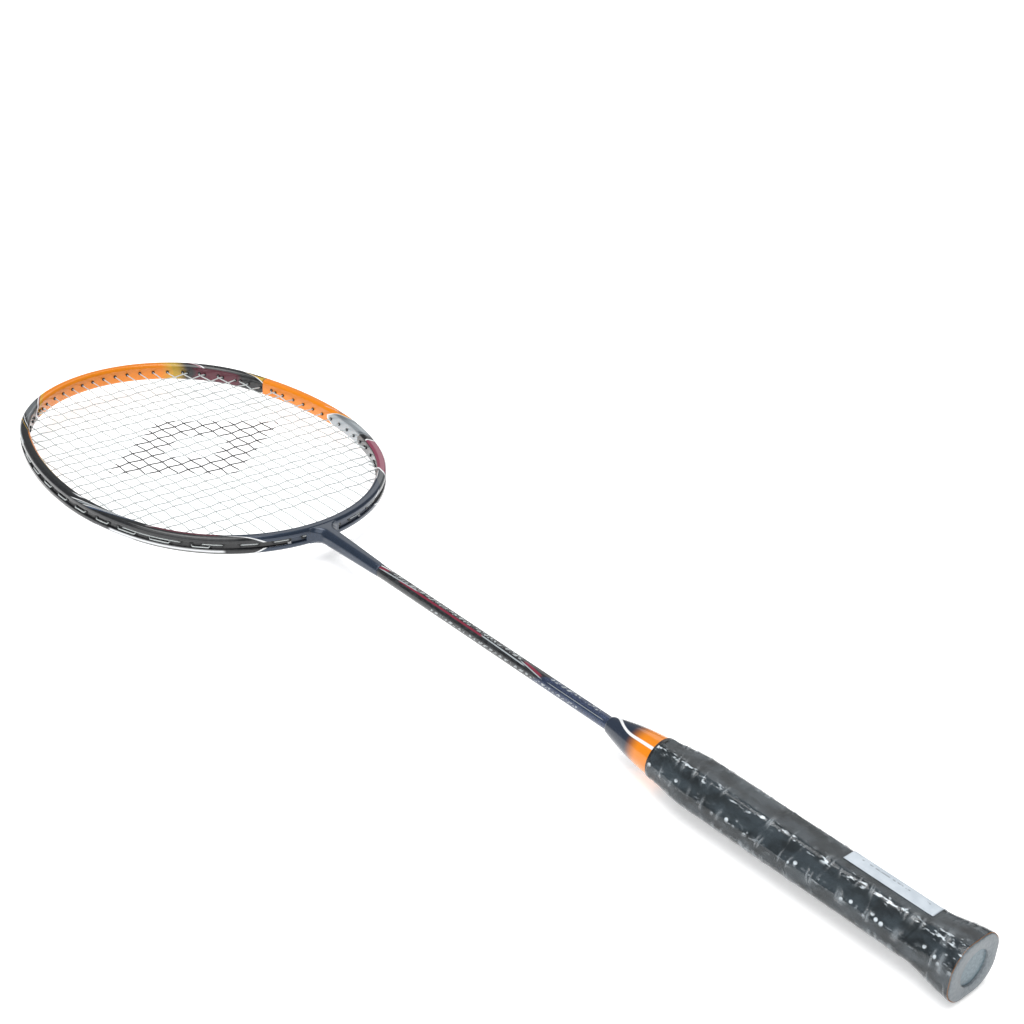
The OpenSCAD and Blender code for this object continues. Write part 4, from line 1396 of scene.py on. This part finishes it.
# ---------- scene ----------
@dataclass(frozen=True)
class Studio:
    """A pale floor, soft lights and the camera."""

    camera_at: tuple[float, float, float] = (-547.21, -279.08, 506.72)
    aim_at: tuple[float, float, float] = (101.40, 392.09, 0.0)
    roll: float = 4.50
    lens: float = 65.834
    floor_drop: float = 1.5
    sky_light: float = 0.22
    backdrop: float = 1.1
    floor_glow: float = 0.42
    floor_half: float = 6000.0

    def camera(self) -> None:
        """Places the camera, turned about its own axis by the roll."""
        data = bpy.data.cameras.new("camera")
        data.lens, data.sensor_width = self.lens, 36.0
        data.clip_start, data.clip_end = 0.01, 50.0
        camera = bpy.data.objects.new("camera", data)
        bpy.context.scene.collection.objects.link(camera)
        ahead = (Vector(self.aim_at) - Vector(self.camera_at)).normalized()
        level = ahead.cross(Vector((0, 0, 1))).normalized()
        roll = math.radians(self.roll)
        right = level * math.cos(roll) + level.cross(ahead) * math.sin(roll)
        up = right.cross(ahead)
        turn = Matrix((right, up, -ahead)).transposed().to_4x4()
        camera.matrix_world = Matrix.Translation(Vector(self.camera_at) * MM) @ turn
        bpy.context.scene.camera = camera

    def floor(self) -> None:
        """A wide pale floor just under the lowest point of the racket."""
        low = CAD_BOX[0][2] / MM - self.floor_drop
        x, y = np.meshgrid([-self.floor_half, self.floor_half], [-self.floor_half, self.floor_half])
        floor = surface("floor", np.stack([x, y, np.full_like(x, low)], -1), ring_cols=False)
        g = Graph(bpy.data.materials.new("matte_white_floor"))
        grain = g.grain(40.0)
        mottle = g.add(Kind.STEP, grain, 0.2, 0.8)
        white = g.add(Kind.MIX, mottle, linear("#FBFBFB"), linear("#FDFDFD"))
        g.set(Base_Color=white, Roughness=0.9,
              Specular_IOR_Level=0.1, Emission_Color=linear("#FFFFFF"), Emission_Strength=self.floor_glow)
        floor.data.materials.append(g.owner)

    def lights(self) -> None:
        """Broad soft lights from above, which light the floor evenly, and a dim sky."""
        for name, toward, spread, strength in (("overhead", (0.15, -0.10, -1.0), 50.0, 2.1),
                                               ("far_box", (-0.66, -0.45, -0.62), 38.0, 0.35),
                                               ("near_box", (0.75, 0.25, -0.80), 60.0, 1.1)):
            data = bpy.data.lights.new(name, "SUN")
            data.energy, data.angle = strength, math.radians(spread)
            light = bpy.data.objects.new(name, data)
            light.rotation_euler = Vector(toward).to_track_quat("-Z", "Y").to_euler()
            bpy.context.scene.collection.objects.link(light)
        sky = Graph(bpy.data.worlds.new("white_sky"))
        # the backdrop is white to look at, but lights the racket only dimly, as in a dark room
        seen = sky.add(Kind.CAMERA_RAY)
        strength = sky.add(Kind.RANGE, seen, 0.0, 1.0, self.sky_light, self.backdrop)
        sky.set(Color=linear("#F8FAFC"), Strength=strength)
        scene = bpy.context.scene
        scene.world = sky.owner
        scene.view_settings.view_transform = "Standard"


def dress(piece: bpy.types.Object, material: bpy.types.Material, slot: str, *nodes: str) -> None:
    """Gives a new piece its material and its body, and hides and logs the nodes that it stands for.

    Args:
        piece: the new piece.
        material: what it is made of.
        slot: name of its material slot; not used.
        nodes: the CAD nodes that it replaces.
    """
    piece.data.materials.append(material)
    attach(piece, BODY)
    if nodes:
        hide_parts(*nodes)
    stands_for = ", ".join(nodes) or "nothing"
    LOG.info("%s: %d points, stands for %s", piece.name, len(piece.data.vertices), stands_for)


def paint(material: bpy.types.Material, *nodes: str) -> None:
    """Gives a material to CAD nodes that are shown as they are.

    Args:
        material: what they are made of.
        nodes: their names.
    """
    for node in nodes:
        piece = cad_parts[node]
        piece.data.materials.clear()
        piece.data.materials.append(material)
        LOG.info("%s: keeps its shape, in %s", node, material.name)


def main() -> None:
    """Builds the racket, piece by piece, and the studio round it."""
    logging.basicConfig(level=logging.INFO, format="%(name)s %(message)s")
    length, half_w = CAD_BOX[1][1] / MM, CAD_BOX[1][0] / MM
    outline = HeadOutline(length, half_w)
    head = Head(outline)
    rim_paint = RimPaint(outline.half_length).build()
    dress(head.rim(), rim_paint, "frame_paint", "head_frame")
    dress(head.taper(), rim_paint, "frame_paint")
    mains, crosses = StringBed(outline).build()
    string = PrintedString(centre_y=559.0).build()
    dress(mains, string, "string_nylon", "main_string")
    dress(crosses, string, "string_nylon", "cross_string")
    paint(string, "main_string_knots", "cross_string_knots")
    shaft = Shaft()
    dress(shaft.tube(), ShaftPaint(head.taper_start).build(), "shaft_paint", "shaft")
    dress(shaft.cone(), ConePaint().build(), "cone_plastic", "cone_cap")
    handle = Handle()
    dress(handle.wrap(), GripLeather().build(), "grip_leather", "grip_wrap")
    dress(handle.film(), ClearFilm().build(), "film_clear", "grip_film")
    dress(handle.label(), LabelPaper(*handle.label_y).build(), "label_paper", "label_sticker")
    # old glue: a warm line, a little glossy, where the tape looks out from under the grip
    amber = Plain("amber_tape_edge", "#7A4A18", "#A86A24", 1.0, 0.4)
    dress(handle.edge_line(), amber.build(), "tape_paper")
    # injection-moulded nylon: near black, with a soft sheen and a faint grain
    nylon = Plain("moulded_black_nylon", "#0E0F10", "#1C1E20", 0.8, 0.45)
    paint(nylon.build(), "tip_grommets", "throat_grommets", "left_grommets", "right_grommets")
    # vinyl tape: black and smooth, with a clear glint along its edge
    paint(Plain("black_vinyl_band", "#0B0C0D", "#191B1C", 1.2, 0.35, coat=0.4).build(), "finishing_band")
    # moulded ABS: a matt grey with a spark-eroded grain, rougher and greener on the disc
    grey = Plain("moulded_grey_abs", "#6B7378", "#80888E", 1.5, 0.42, 0.015)
    dress(handle.butt_plate(), grey.build(), "butt_plastic", "butt_cap")
    paint(Plain("moulded_green_grey_abs", "#586A73", "#768A94", 1.2, 0.36, 0.04).build(), "butt_disc")
    # hidden pieces: pale dry wood, paper tape with no gloss, and two bare metals
    paint(Plain("ash_wood", "#9C7A50", "#C09A68", 2.0, 0.6).build(), "handle_core")
    paint(Plain("tape_paper", "#B8A888", "#CFC2A4", 1.5, 0.7).build(), "grip_adhesive_tape")
    steel = Plain("bright_steel_wire", "#B8BABC", "#D0D2D4", 0.6, 0.3, metallic=1.0)
    paint(steel.build(), "butt_cap_staples")
    paint(Plain("turned_aluminium", "#A8AAAC", "#C2C4C6", 0.8, 0.35, metallic=1.0).build(), "tee_joint")
    studio = Studio()
    studio.camera()
    studio.floor()
    studio.lights()
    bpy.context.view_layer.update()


if __name__ == "__main__":
    main()
